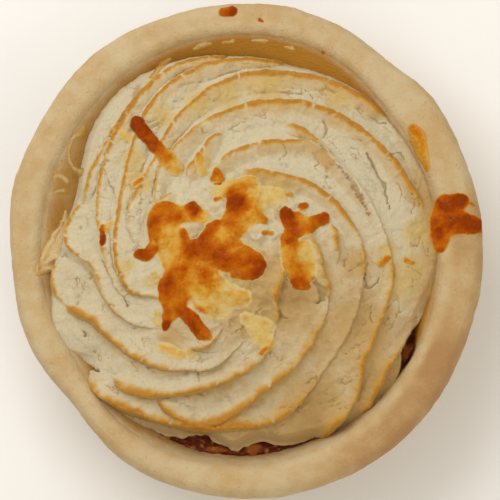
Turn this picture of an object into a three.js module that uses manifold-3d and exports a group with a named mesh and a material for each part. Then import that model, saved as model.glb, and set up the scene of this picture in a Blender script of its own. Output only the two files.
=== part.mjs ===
// Cottage pie: an open pastry shell filled with mince, topped with a piped swirl of mashed potato and with
// scraps of melted, browned cheese. Millimetres, +Z up. The origin is under the middle of the flat base.
// Directions round the pie are in degrees, anticlockwise from +X as seen from above.

import * as THREE from "three";
import { mergeVertices } from "three/addons/utils/BufferGeometryUtils.js";
import Module from "manifold-3d";

const wasm = await Module();
wasm.setup();

// Driving dimensions
const CLEARANCE = 0.3; // kept between pieces that lie on each other

const SHELL = {
  baseRadius: 44,
  footRound: 2.5,
  floor: 4,
  floorRadius: 41.5,
  shoulderHeight: 21, // where the side turns out into the rim
  shoulderRadius: 54.5,
  rimRadius: 60.8,
  rimEdgeHeight: 25.5,
  rimUnderside: 1, // how far the rim's underside rises as it turns out
  lipRadius: 51.7,
  lipHeight: 27,
  lipRound: 1,
  height: 30,
  sides: 80,
  curveSteps: 3,
};

// The baked rim is an oval with a few swellings and dents, and its top is not quite level
const RIM = {
  oval: 1.4,
  waves: [
    { lobes: 3, from: 0.6, by: 0.45 },
    { lobes: 7, from: 0, by: 0.27 },
  ],
  bumps: [
    { at: 40, width: 7, by: 1.1 },
    { at: 52, width: 6, by: -1.2 },
    { at: 128, width: 12, by: 1.5 },
    { at: 220, width: 12, by: -2.3 },
  ],
};
const LIP = { oval: 2.3, shift: 1.25 };

const MINCE = { level: 24, sides: 48, lump: 1.3, lumpsRound: 17, lumpyBand: 6, lumpyRings: [0, 0.4, 0.7] };

const MASH = {
  centre: new THREE.Vector2(-1.5, -0.5), // the swirl's middle at its edge, a little off the pie's
  lean: new THREE.Vector2(1.1, -2.4), // how far its top lies from there
  radius: 47.5,
  apronRadius: 52.5, // a low apron runs out to the wall
  apronHeight: 0.8,
  underside: MINCE.level + CLEARANCE,
  edgeHeight: 27.5,
  topHeight: 41.5,
  fullness: 1.6, // 2 is a round dome and 1 a straight cone
  sides: 54,
  rings: 7,
  // Where the mash stops short of the wall, so that the filling shows, or is pushed out to meet it
  bumps: [
    { at: 178, width: 15, by: -4.5 },
    { at: 207, width: 12, by: 2.2 },
    { at: 262, width: 20, by: -8 },
    { at: 300, width: 9, by: 2.5 },
    { at: 330, width: 11, by: -6 },
  ],
};

// A pleat of mash in section: a steep outer face under a narrow crest, and a long face that falls inwards
const PLEAT = {
  rise: 2.6,
  crest: 1.1,
  inner: 5.6,
  hollow: [1.7, 3.1], // how far down and in the inner face is drawn, which makes it dish a little
  root: 5,
  overhang: 0.5,
  tailFrom: 0.75, // from this share of its length on, a pleat sinks into the mound
  buriedTail: 2.5,
  degreesPerStep: 10,
};

// The crest of each pleat, from its tip at the mash's edge to its tail near the middle:
// the direction in degrees and the distance from the swirl's middle
const CRESTS = [
  [[218, 50.8], [246, 47.5], [284, 43.3], [318, 33.8], [368, 29.3], [440, 20.5]],
  [[242, 43], [260, 44.3], [280, 35.8], [318, 27.2], [365, 17.8]],
  [[226, 44.5], [235, 43.8], [250, 37.5], [278, 28.5], [305, 16], [355, 10]],
  [[197, 45], [208, 39.3], [232, 35.5], [254, 30], [290, 15]],
  [[162, 41.5], [175, 43.3], [188, 35.8], [208, 33.2], [227, 26.5]],
  [[112, 49], [138, 43.2], [166, 41]],
  [[92, 49.5], [110, 49], [134, 43], [172, 35], [208, 30]],
  [[76, 49], [98, 47.8], [117, 44], [137, 36.5], [158, 31.8], [196, 29.2], [208, 24]],
  [[42, 49.6], [70, 46], [93, 43], [115, 36.3], [136, 30.2], [160, 29], [180, 25]],
  [[306, 51.5], [320, 47], [345, 47.4], [380, 45.8], [425, 40.3], [450, 35.8], [500, 26.8], [518, 21]],
  [[293, 51], [303, 49], [318, 41.3], [345, 38.6], [380, 34.5], [426, 34.2], [457, 31.8], [472, 26.5], [490, 22]],
  [[40, 32], [68, 29.6], [95, 24], [120, 18]],
  [[345, 26], [372, 24.2], [412, 19.8], [440, 15]],
  [[183, 46], [192, 46.8], [200, 44]],
];

// Strands of melted cheese: the places that each runs through, its thickness, and how flat it has melted
const CHEESE = {
  cheese_melt: [
    { through: [[-25.7, -0.8], [-21.5, 3], [-19.5, 8.5]], radius: 2.5 },
    { through: [[-19.5, 7], [-15.8, 2.5], [-11, -0.5]], radius: 2.9 },
    { through: [[-12.3, 1], [-4.5, -0.5], [3.5, -4]], radius: 3.3 },
    { through: [[-6, 2.5], [-2, 10.7], [1, 15.5]], radius: 2.9 },
    { through: [[-11, -1.5], [-16.5, -7.5], [-18.5, -12]], radius: 3.1 },
    { through: [[-18.5, -11], [-19.5, -18.7]], radius: 1.9 },
    { through: [[-16.5, -13], [-9.7, -21.5]], radius: 2.1 },
    { through: [[-12.5, 2.5], [-12.2, 9.5]], radius: 1.9 },
    { through: [[-11, -4], [-3, -9.5]], radius: 5.5, flat: 0.45 },
  ],
  cheese_knot: [
    { through: [[9.7, 9], [11.5, 2.2]], radius: 2.4 },
    { through: [[11.5, 2.2], [16.5, 6.5], [20, 7]], radius: 2.1 },
    { through: [[11.5, 2.2], [14, -8.7]], radius: 2.9, flat: 0.8 },
  ],
  cheese_stick: [{ through: [[-26.2, 30.7], [-22, 26], [-16.5, 20]], radius: 2.1 }],
  cheese_rim_patch: [
    { through: [[48.4, 8.5], [49.8, 1.5]], radius: 4, flat: 0.6 },
    { through: [[50, 5], [54, 10.6]], radius: 2.6, flat: 0.8 },
    { through: [[50, 4], [59.6, 2.9]], radius: 2.6, flat: 0.8 },
  ],
  cheese_rim_drip: [{ through: [[42, 29.2], [43.6, 21.5]], radius: 2.2, flat: 0.6 }],
  cheese_rim_spot: [{ through: [[-5, 60], [-2.6, 60.2]], radius: 1.9, flat: 0.7 }],
};
const STRAND = { sides: 8, capRings: 2, sunk: 0.35 };

// Small scraps of cheese that have melted onto the mash: the place, the length and the width
const FLAKES = [
  { at: [-33.5, 5.5], length: 4.2, width: 3.4 },
  { at: [-29.3, 28.3], length: 3.8, width: 3.4 },
  { at: [-26.2, 16.7], length: 3.4, width: 2.6 },
  { at: [4, -22.5], length: 6, width: 4.6 },
  { at: [34.5, -4], length: 5, width: 2.2 },
  { at: [-7, 18.3], length: 3.4, width: 2.8 },
  { at: [-18.5, -26.2], length: 6.4, width: 3.8 },
];
const FLAKE = { sides: 8, rings: 4, height: 1.6 };

const COLOURS = {
  pastry_shell: { color: 0xd2b384, roughness: 0.85 },
  mince_filling: { color: 0x4a1d08, roughness: 0.35 },
  mash_swirl: { color: 0xdccfa9, roughness: 0.8 },
  cheese: { color: 0xc6761c, roughness: 0.4 },
};

// Solids and meshes

const { degToRad, lerp, smoothstep, euclideanModulo } = THREE.MathUtils;
const total = (numbers) => numbers.reduce((sum, number) => sum + number, 0);

// The closed solid of a geometry whose faces point out
function solidOf(geometry) {
  const bare = geometry.clone();
  bare.deleteAttribute("normal");
  bare.deleteAttribute("uv");
  const { index, attributes } = mergeVertices(bare, 1e-3);
  const mesh = new wasm.Mesh({
    numProp: 3,
    vertProperties: new Float32Array(attributes.position.array),
    triVerts: new Uint32Array(index.array),
  });
  return new wasm.Manifold(mesh);
}

// The geometry of a solid, for a mesh
function geometryOf(solid) {
  const { vertProperties, triVerts } = solid.getMesh();
  const geometry = new THREE.BufferGeometry();
  geometry.setAttribute("position", new THREE.BufferAttribute(vertProperties, 3));
  geometry.setIndex(new THREE.BufferAttribute(triVerts, 1));
  geometry.computeVertexNormals();
  return geometry;
}

const fuse = (solids) => solids.reduce((whole, solid) => whole.add(solid));

// The largest body of a solid, without the scraps that a cut leaves
function mainBody(solid) {
  return solid.decompose().reduce((most, body) => (body.volume() > most.volume() ? body : most));
}

// Moves every vertex of a geometry by a function that changes the point it is given
function reshape(geometry, change) {
  const { position } = geometry.attributes;
  const point = new THREE.Vector3();
  for (let i = 0; i < position.count; i += 1) {
    change(point.fromBufferAttribute(position, i));
    position.setXYZ(i, point.x, point.y, point.z);
  }
  return geometry;
}

// A profile of radius and height turned about the upright axis
function turned(profile, sides) {
  return new THREE.LatheGeometry(profile, sides).rotateX(Math.PI / 2);
}

// A swelling, or a dent, centred on one direction
function bump(angle, { at, width, by }) {
  const away = euclideanModulo(angle - degToRad(at) + Math.PI, 2 * Math.PI) - Math.PI;
  return by * Math.exp(-((away / degToRad(width)) ** 2));
}

const bumps = (angle, list) => total(list.map((one) => bump(angle, one)));

// Pastry shell

const rimSwell = (angle) => bumps(angle, RIM.bumps) - RIM.oval * Math.cos(2 * angle);
const lipSwell = (angle) => -LIP.oval * Math.cos(2 * angle) - LIP.shift * Math.cos(angle);
const rimLift = (angle) => total(RIM.waves.map(({ lobes, from, by }) => by * Math.sin(lobes * angle + from)));

// Takes a point of the true round shell to where baking left it: the base stays round and flat
function bake(point) {
  const angle = Math.atan2(point.y, point.x);
  const radius = Math.hypot(point.x, point.y);
  const up = smoothstep(point.z, SHELL.floor, SHELL.lipHeight);
  const out = smoothstep(radius, SHELL.lipRadius, SHELL.rimRadius);
  const baked = radius + up * lerp(lipSwell(angle), rimSwell(angle), out);
  point.set(baked * Math.cos(angle), baked * Math.sin(angle), point.z + up * rimLift(angle));
}

// The straight sides of the wall, outside and inside
const outerSlope = (SHELL.shoulderRadius - SHELL.baseRadius) / SHELL.shoulderHeight;
const innerSlope = (SHELL.lipRadius - SHELL.floorRadius) / (SHELL.lipHeight - SHELL.floor);
const cavityRadius = (height) => SHELL.floorRadius + innerSlope * (height - SHELL.floor);

function pastryShell() {
  const { baseRadius, footRound, floor, floorRadius, rimRadius, rimEdgeHeight, lipRadius, lipHeight, height } = SHELL;
  const rimMiddle = (rimRadius + lipRadius) / 2;
  const outline = new THREE.Path();
  outline.lineTo(baseRadius - footRound, 0);
  outline.quadraticCurveTo(baseRadius, 0, baseRadius + outerSlope * footRound, footRound);
  outline.lineTo(SHELL.shoulderRadius, SHELL.shoulderHeight);
  outline.quadraticCurveTo(rimRadius, SHELL.shoulderHeight + SHELL.rimUnderside, rimRadius, rimEdgeHeight);
  outline.quadraticCurveTo(rimRadius, height, rimMiddle, height);
  outline.quadraticCurveTo(lipRadius + SHELL.lipRound, height, lipRadius, lipHeight);
  outline.lineTo(floorRadius + innerSlope * footRound, floor + footRound);
  outline.quadraticCurveTo(floorRadius, floor, floorRadius - footRound, floor);
  outline.lineTo(0, floor);
  return solidOf(reshape(turned(outline.getPoints(SHELL.curveSteps), SHELL.sides), bake));
}

// The space inside the shell, clear of the pastry and open at the top as far up as the mash goes
function shellSpace() {
  const { floor, footRound, floorRadius, lipRadius, lipHeight, height } = SHELL;
  const bottom = floor + CLEARANCE;
  const profile = [
    [0, bottom],
    [floorRadius - footRound, bottom],
    [cavityRadius(floor + footRound) - CLEARANCE, floor + footRound],
    [lipRadius - CLEARANCE, lipHeight],
    [lipRadius - CLEARANCE, 2 * height],
    [0, 2 * height],
  ].map(([radius, up]) => new THREE.Vector2(radius, up));
  return solidOf(reshape(turned(profile, SHELL.sides), bake));
}

// Mince filling: fills the shell to its level, with a lumpy top where it can be seen at the mash's edge

function minceFilling() {
  const { level, sides, lump, lumpsRound, lumpyBand } = MINCE;
  const lumpyFrom = MASH.radius - lumpyBand;
  const widest = SHELL.lipRadius + LIP.oval;
  const lumpyRings = MINCE.lumpyRings.map((inwards) => lerp(widest, lumpyFrom, inwards));
  const profile = [
    [0, SHELL.floor],
    [widest, SHELL.floor],
    ...lumpyRings.map((radius) => [radius, level]),
    [lumpyFrom, level],
    [0, level],
  ].map(([radius, up]) => new THREE.Vector2(radius, up));
  const lumpy = (point) => {
    const radius = Math.hypot(point.x, point.y);
    const along = lumpsRound * Math.atan2(point.y, point.x);
    const inBand = point.z === level && radius > lumpyFrom + CLEARANCE;
    if (inBand) point.z -= (lump / 2) * (1 + Math.sin(along + 2 * radius));
  };
  return solidOf(reshape(turned(profile, sides), lumpy)).intersect(shellSpace());
}

// Mashed potato swirl

// Places on the swirl are given as if it stood straight
const fromMiddle = ([x, y]) => Math.hypot(x - MASH.centre.x, y - MASH.centre.y);
const heightShare = (radius) => 1 - Math.min(1, radius / MASH.radius) ** MASH.fullness;
const domeHeight = (radius) => lerp(MASH.edgeHeight, MASH.topHeight, heightShare(radius));

// The height of the mash at a place, at the level of its crests
const mashHeight = (place) => domeHeight(fromMiddle(place)) + PLEAT.rise;

// Carries a place over with the swirl's lean
function leaned([x, y]) {
  const { x: acrossX, y: acrossY } = MASH.lean;
  const share = heightShare(fromMiddle([x, y]));
  return [x + share * acrossX, y + share * acrossY];
}

// The place in a direction from the swirl's middle
function swirlPlace(angle, radius) {
  return [MASH.centre.x + radius * Math.cos(angle), MASH.centre.y + radius * Math.sin(angle)];
}

// The mound under the pleats
function mashMound() {
  const { radius, apronRadius, apronHeight, underside, rings } = MASH;
  const profile = [
    new THREE.Vector2(0, underside),
    new THREE.Vector2(apronRadius, underside),
    new THREE.Vector2(apronRadius, underside + apronHeight),
  ];
  for (let ring = 0; ring <= rings; ring += 1) {
    const out = radius * (1 - ring / rings);
    profile.push(new THREE.Vector2(out, domeHeight(out)));
  }
  const spread = (point) => {
    const angle = Math.atan2(point.y, point.x);
    const out = Math.hypot(point.x, point.y);
    const pushed = out + bumps(angle, MASH.bumps) * smoothstep(out, radius / 2, radius);
    point.set(...leaned(swirlPlace(angle, pushed)), point.z);
  };
  return solidOf(reshape(turned(profile, MASH.sides), spread));
}

// One pleat, swept along its crest: the section is drawn with x down from the crest and y in towards the middle
function mashPleat(crest) {
  const { rise, inner, root, overhang, tailFrom, buriedTail, degreesPerStep } = PLEAT;
  const section = new THREE.Shape();
  section.moveTo(0, 0);
  section.lineTo(overhang, -overhang);
  section.lineTo(root, 0);
  section.lineTo(root, inner);
  section.quadraticCurveTo(...PLEAT.hollow, 0, PLEAT.crest);

  const route = new THREE.SplineCurve(crest.map(([degrees, radius]) => new THREE.Vector2(degrees, radius)));
  const sweep = crest.at(-1)[0] - crest[0][0];
  const steps = Math.ceil(sweep / degreesPerStep);
  const line = route.getPoints(steps).map(({ x: degrees, y: radius }, step) => {
    const tail = smoothstep(step / steps, tailFrom, 1);
    const height = domeHeight(radius) + rise - tail * buriedTail;
    return new THREE.Vector3(...leaned(swirlPlace(degToRad(degrees), radius)), height);
  });
  const extrudePath = new THREE.CatmullRomCurve3(line);
  return solidOf(new THREE.ExtrudeGeometry(section, { steps, extrudePath, curveSegments: 2, bevelEnabled: false }));
}

function cheeseFlake({ at, length, width }) {
  const scrap = new THREE.SphereGeometry(0.5, FLAKE.sides, FLAKE.rings);
  scrap.rotateX(Math.PI / 2);
  scrap.scale(length, width, FLAKE.height);
  scrap.rotateZ(Math.atan2(at[1], at[0]) + Math.PI / 2);
  return solidOf(scrap.translate(...leaned(at), mashHeight(at)));
}

function mashSwirl() {
  const piped = fuse([mashMound(), ...CRESTS.map(mashPleat), ...FLAKES.map(cheeseFlake)]);
  return mainBody(piped.intersect(shellSpace()));
}

// Cheese

// The height of whatever a strand lies on: the rim beyond the lip, the mash elsewhere
function restHeight(place) {
  const angle = Math.atan2(place[1], place[0]);
  const overRim = Math.hypot(...place) > SHELL.lipRadius + lipSwell(angle);
  return overRim ? SHELL.height + rimLift(angle) : mashHeight(place);
}

// A strand is a chain of round-ended rods, flattened where it has melted
function cheeseStrand({ through, radius, flat = 1 }) {
  const points = through.map((place) => {
    const height = restHeight(place) + radius * flat * STRAND.sunk;
    return new THREE.Vector3(...leaned(place), height);
  });
  const rods = points.slice(1).map((end, i) => {
    const along = end.clone().sub(points[i]);
    const rod = new THREE.CapsuleGeometry(radius, along.length(), STRAND.capRings, STRAND.sides);
    rod.applyQuaternion(new THREE.Quaternion().setFromUnitVectors(new THREE.Vector3(0, 1, 0), along.normalize()));
    rod.scale(1, 1, flat);
    const middle = end.clone().add(points[i]).divideScalar(2);
    return solidOf(rod.translate(middle.x, middle.y, middle.z));
  });
  return fuse(rods);
}

// A piece of cheese takes the shape of what lies under it, a clearance away
function cheesePiece(strands, under) {
  const melted = fuse(strands.map(cheeseStrand));
  const rims = 1 + CLEARANCE / SHELL.rimRadius;
  const cleared = under.reduce((piece, solid) => {
    const below = geometryOf(solid);
    const raised = solidOf(below.clone().translate(0, 0, CLEARANCE));
    const widened = solidOf(below.clone().scale(rims, rims, 1));
    return piece.subtract(raised).subtract(widened);
  }, melted);
  return mainBody(cleared);
}

// The pie

const pie = new THREE.Group();

function addPiece(name, solid, finish) {
  const mesh = new THREE.Mesh(geometryOf(solid), new THREE.MeshStandardMaterial({ metalness: 0, ...finish }));
  mesh.name = name;
  pie.add(mesh);
}

const shell = pastryShell();
const mash = mashSwirl();
addPiece("pastry_shell", shell, COLOURS.pastry_shell);
addPiece("mince_filling", minceFilling(), COLOURS.mince_filling);
addPiece("mash_swirl", mash, COLOURS.mash_swirl);
for (const [name, strands] of Object.entries(CHEESE)) {
  addPiece(name, cheesePiece(strands, [shell, mash]), COLOURS.cheese);
}

export default pie;
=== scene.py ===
"""The looks of an individual cottage pie: pastry shell, mince, piped mash and melted cheese.

Lengths are in millimetres until a mesh is made, which is in metres as the frame is. Directions run
anticlockwise from +X as seen from above, in degrees where they are sizes and in radians where they are
worked with. Places on the swirl are given as if it stood straight, and its lean carries them over.
"""

import logging
import math
from dataclasses import dataclass
from enum import Enum
from typing import Callable, Sequence, Union

import bpy
import numpy as np
from mathutils import Matrix, Vector
from mathutils.bvhtree import BVHTree


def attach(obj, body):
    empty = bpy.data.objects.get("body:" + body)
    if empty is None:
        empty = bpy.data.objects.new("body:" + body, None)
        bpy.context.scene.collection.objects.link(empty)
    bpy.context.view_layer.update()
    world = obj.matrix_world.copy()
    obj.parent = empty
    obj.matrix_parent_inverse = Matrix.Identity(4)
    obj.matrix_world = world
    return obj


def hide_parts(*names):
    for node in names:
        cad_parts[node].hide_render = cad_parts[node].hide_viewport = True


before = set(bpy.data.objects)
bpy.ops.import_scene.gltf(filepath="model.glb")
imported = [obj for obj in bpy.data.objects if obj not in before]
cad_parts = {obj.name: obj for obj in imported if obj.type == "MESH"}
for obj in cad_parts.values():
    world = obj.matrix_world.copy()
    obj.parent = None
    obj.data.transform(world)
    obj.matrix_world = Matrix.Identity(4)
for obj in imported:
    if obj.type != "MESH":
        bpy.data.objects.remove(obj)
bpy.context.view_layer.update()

LOG = logging.getLogger("cottage_pie")
METRE = 0.001
BODY = "root"

Array = np.ndarray
Colour = tuple[float, float, float]
Pair = tuple[Array, Array]
Material = bpy.types.Material
Piece = bpy.types.Object
# Where a rise starts and ends, and in a finish also how far it goes if not to 1
Rise = tuple[float, ...]
# How much each of a row of signals counts
Weights = tuple[float, ...]
# The width and the detail of each of a finish's noises, from the broadest to the finest
Grains = tuple[tuple[float, float], ...]


class Slot(Enum):
    """The record's material slots."""

    PASTRY = "pastry"
    MINCE = "mince"
    MASH = "mash"
    CHEESE = "cheese"


# Numbers and curves


def ease(value: Array, low: float, high: float) -> Array:
    """Rises smoothly from 0 at low to 1 at high.

    Args:
        value: the values to test.
        low: where the rise starts.
        high: where it ends.

    Returns:
        One share for each value.
    """
    share = np.clip((np.asarray(value, float) - low) / (high - low), 0.0, 1.0)
    return share * share * (3.0 - 2.0 * share)


def smooth_path(points: Sequence[Sequence[float]], steps: int) -> Array:
    """Runs a smooth curve through points.

    Args:
        points: the points, each of any number of values.
        steps: how many places to take from each point to the next.

    Returns:
        The places along the curve, one a row.
    """
    given = np.asarray(points, float)
    held = np.vstack([given[:1], given, given[-1:]])
    share = np.linspace(0.0, 1.0, steps, endpoint=False)[:, None]
    runs = []
    for before, start, end, after in zip(held, held[1:], held[2:], held[3:]):
        leave, arrive = (end - before) / 2.0, (after - start) / 2.0
        cubic = 2.0 * (start - end) + leave + arrive
        square = 3.0 * (end - start) - 2.0 * leave - arrive
        runs.append(((cubic * share + square) * share + leave) * share + start)
    return np.vstack([*runs, given[-1:]])


def bend(start: Sequence[float], corner: Sequence[float], end: Sequence[float], steps: int) -> Array:
    """Rounds a corner between two points.

    Args:
        start: where the curve leaves.
        corner: the corner that it rounds.
        end: where it arrives.
        steps: how many places to take after the start.

    Returns:
        The places after the start, one a row.
    """
    share = np.linspace(0.0, 1.0, steps + 1)[1:, None]
    first, middle, last = (np.asarray(point, float) for point in (start, corner, end))
    return first * (1 - share) ** 2 + middle * 2 * share * (1 - share) + last * share**2


def straight(start: Sequence[float], end: Sequence[float], steps: int) -> Array:
    """Returns the places after the start on a straight line, one a row."""
    share = np.linspace(0.0, 1.0, steps + 1)[1:, None]
    return np.asarray(start, float) * (1 - share) + np.asarray(end, float) * share


NOISE_SLOPES = 1024
NOISE_PRIMES = np.array([73856093, 19349663, 83492791])
NOISE_SHIFT = 9
# Brings the noise to about -1 to 1
NOISE_GAIN = 1.6


@dataclass(frozen=True)
class Noise:
    """Smooth seeded unevenness, from about -1 to 1 at a strength of 1.

    size is the width of its lumps, and each of its further octaves is half as wide and half as strong.
    """

    size: float
    seed: int
    octaves: int = 1
    strength: float = 1.0

    def at(self, points: Array) -> Array:
        """Gives the unevenness at points.

        Args:
            points: places in space, one a row.

        Returns:
            One value for each place.
        """
        shares = 0.5 ** np.arange(self.octaves)
        layers = [
            share * self._layer(points / (self.size * share), self.seed + octave)
            for octave, share in enumerate(shares)
        ]
        return self.strength * (sum(layers) / shares.sum())

    @staticmethod
    def _layer(cells: Array, seed: int) -> Array:
        """Gives one octave, with lattice cells of size 1.

        Args:
            cells: places in space, one a row.
            seed: picks the slopes at the lattice points.

        Returns:
            One value for each place.
        """
        slopes = np.random.default_rng(seed).normal(size=(NOISE_SLOPES, 3))
        slopes /= np.linalg.norm(slopes, axis=1, keepdims=True)
        low = np.floor(cells).astype(np.int64)
        part = cells - low
        eased = part**3 * (part * (part * 6.0 - 15.0) + 10.0)
        total = np.zeros(len(cells))
        for corner in np.ndindex(2, 2, 2):
            mixed = (low + corner) @ NOISE_PRIMES
            chosen = slopes[(mixed ^ (mixed >> NOISE_SHIFT)) % NOISE_SLOPES]
            weight = np.prod(np.where(corner, eased, 1.0 - eased), axis=1)
            total += weight * np.sum(chosen * (part - corner), axis=1)
        return NOISE_GAIN * total


@dataclass(frozen=True)
class Patches:
    """Soft-edged patches: the noise that lays them out, where it rises into them, and how strong they are."""

    noise: Noise
    low: float
    high: float
    strength: float = 1.0

    def at(self, points: Array) -> Array:
        """Returns how much of a patch lies at each point."""
        return self.strength * ease(self.noise.at(points), self.low, self.high)


def uneven(points: Array, layers: Sequence[Union[Noise, Patches]]) -> Array:
    """Returns what several noises or patches together do at points."""
    return sum(layer.at(points) for layer in layers)


@dataclass(frozen=True)
class Bump:
    """A swelling, or a dent, round one direction: its direction, width and depth."""

    at: float
    width: float
    by: float

    def swell(self, angle: Array) -> Array:
        """Returns how far it pushes out in each direction."""
        away = np.remainder(angle - math.radians(self.at) + math.pi, 2 * math.pi) - math.pi
        return self.by * np.exp(-((away / math.radians(self.width)) ** 2))


Bumps = tuple[Bump, ...]


def bumps(*rows: tuple[float, float, float]) -> Bumps:
    """Returns a bump for each row of direction, width and depth."""
    return tuple(Bump(*row) for row in rows)


def swollen(angle: Array, all_bumps: Bumps) -> Array:
    """Returns how far all of the bumps together push out in each direction."""
    return sum(bump.swell(angle) for bump in all_bumps)


@dataclass(frozen=True)
class Spot:
    """A soft round spot on the swirl: its place and its size."""

    x: float
    y: float
    size: float

    def share(self, x: Array, y: Array) -> Array:
        """Returns how much of the spot lies at each place."""
        return np.exp(-((x - self.x) ** 2 + (y - self.y) ** 2) / self.size**2)


Spots = tuple[Spot, ...]


def spots(*rows: tuple[float, float, float]) -> Spots:
    """Returns a spot for each row of place and size."""
    return tuple(Spot(*row) for row in rows)


def spotted(place: Pair, all_spots: Spots) -> Array:
    """Returns the strongest of the spots at each place."""
    return np.max([spot.share(*place) for spot in all_spots], axis=0)


# Shader boards

Value = Union["Signal", float]
# What even noise varies about
NOISE_MIDDLE = 0.5
DRIFTS_TO_A_CELL = 2.0
# The sockets of a Mix node for colours, by number, because its other kinds have sockets of the same names
MIX_SHARE, MIX_UNDER, MIX_OVER, MIX_RESULT = 0, 6, 7, 2


class Signal:
    """A socket whose value varies over a surface. Arithmetic on it adds Math nodes."""

    def __init__(self, board: "Board", socket: bpy.types.NodeSocket) -> None:
        """Wraps a board's output socket."""
        self.board = board
        self.socket = socket

    def __add__(self, other: Value) -> "Signal":
        """Returns the sum."""
        return self.board.maths("ADD", self, other)

    def __sub__(self, other: Value) -> "Signal":
        """Returns the difference."""
        return self.board.maths("SUBTRACT", self, other)

    def __rsub__(self, other: float) -> "Signal":
        """Returns the difference from a number."""
        return self.board.maths("SUBTRACT", other, self)

    def __mul__(self, other: Value) -> "Signal":
        """Returns the product."""
        return self.board.maths("MULTIPLY", self, other)

    __radd__ = __add__
    __rmul__ = __mul__

    def rise(self, low: float, high: float, top: float = 1.0) -> "Signal":
        """Rises smoothly from 0 at low to the top at high.

        Args:
            low: where the rise starts.
            high: where it ends.
            top: how far it goes.

        Returns:
            The risen signal.
        """
        settings = {"interpolation_type": "SMOOTHSTEP"}
        inputs = {"Value": self, "From Min": low, "From Max": high, "To Max": top}
        return self.board.signal("ShaderNodeMapRange", settings, inputs, "Result")

    def mottled(self, noises: Sequence["Signal"], strengths: Weights) -> "Signal":
        """Makes the value uneven.

        Args:
            noises: what pushes it about.
            strengths: how far each of them does.

        Returns:
            The uneven value.
        """
        value = self
        for noise, strength in zip(noises, strengths):
            value = value + (noise - NOISE_MIDDLE) * strength
        return value


def weighed(signals: Sequence[Signal], weights: Weights) -> Signal:
    """Returns the sum of signals, each times its weight."""
    first, *others = (signal * weight for signal, weight in zip(signals, weights))
    return sum(others, first)


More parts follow.
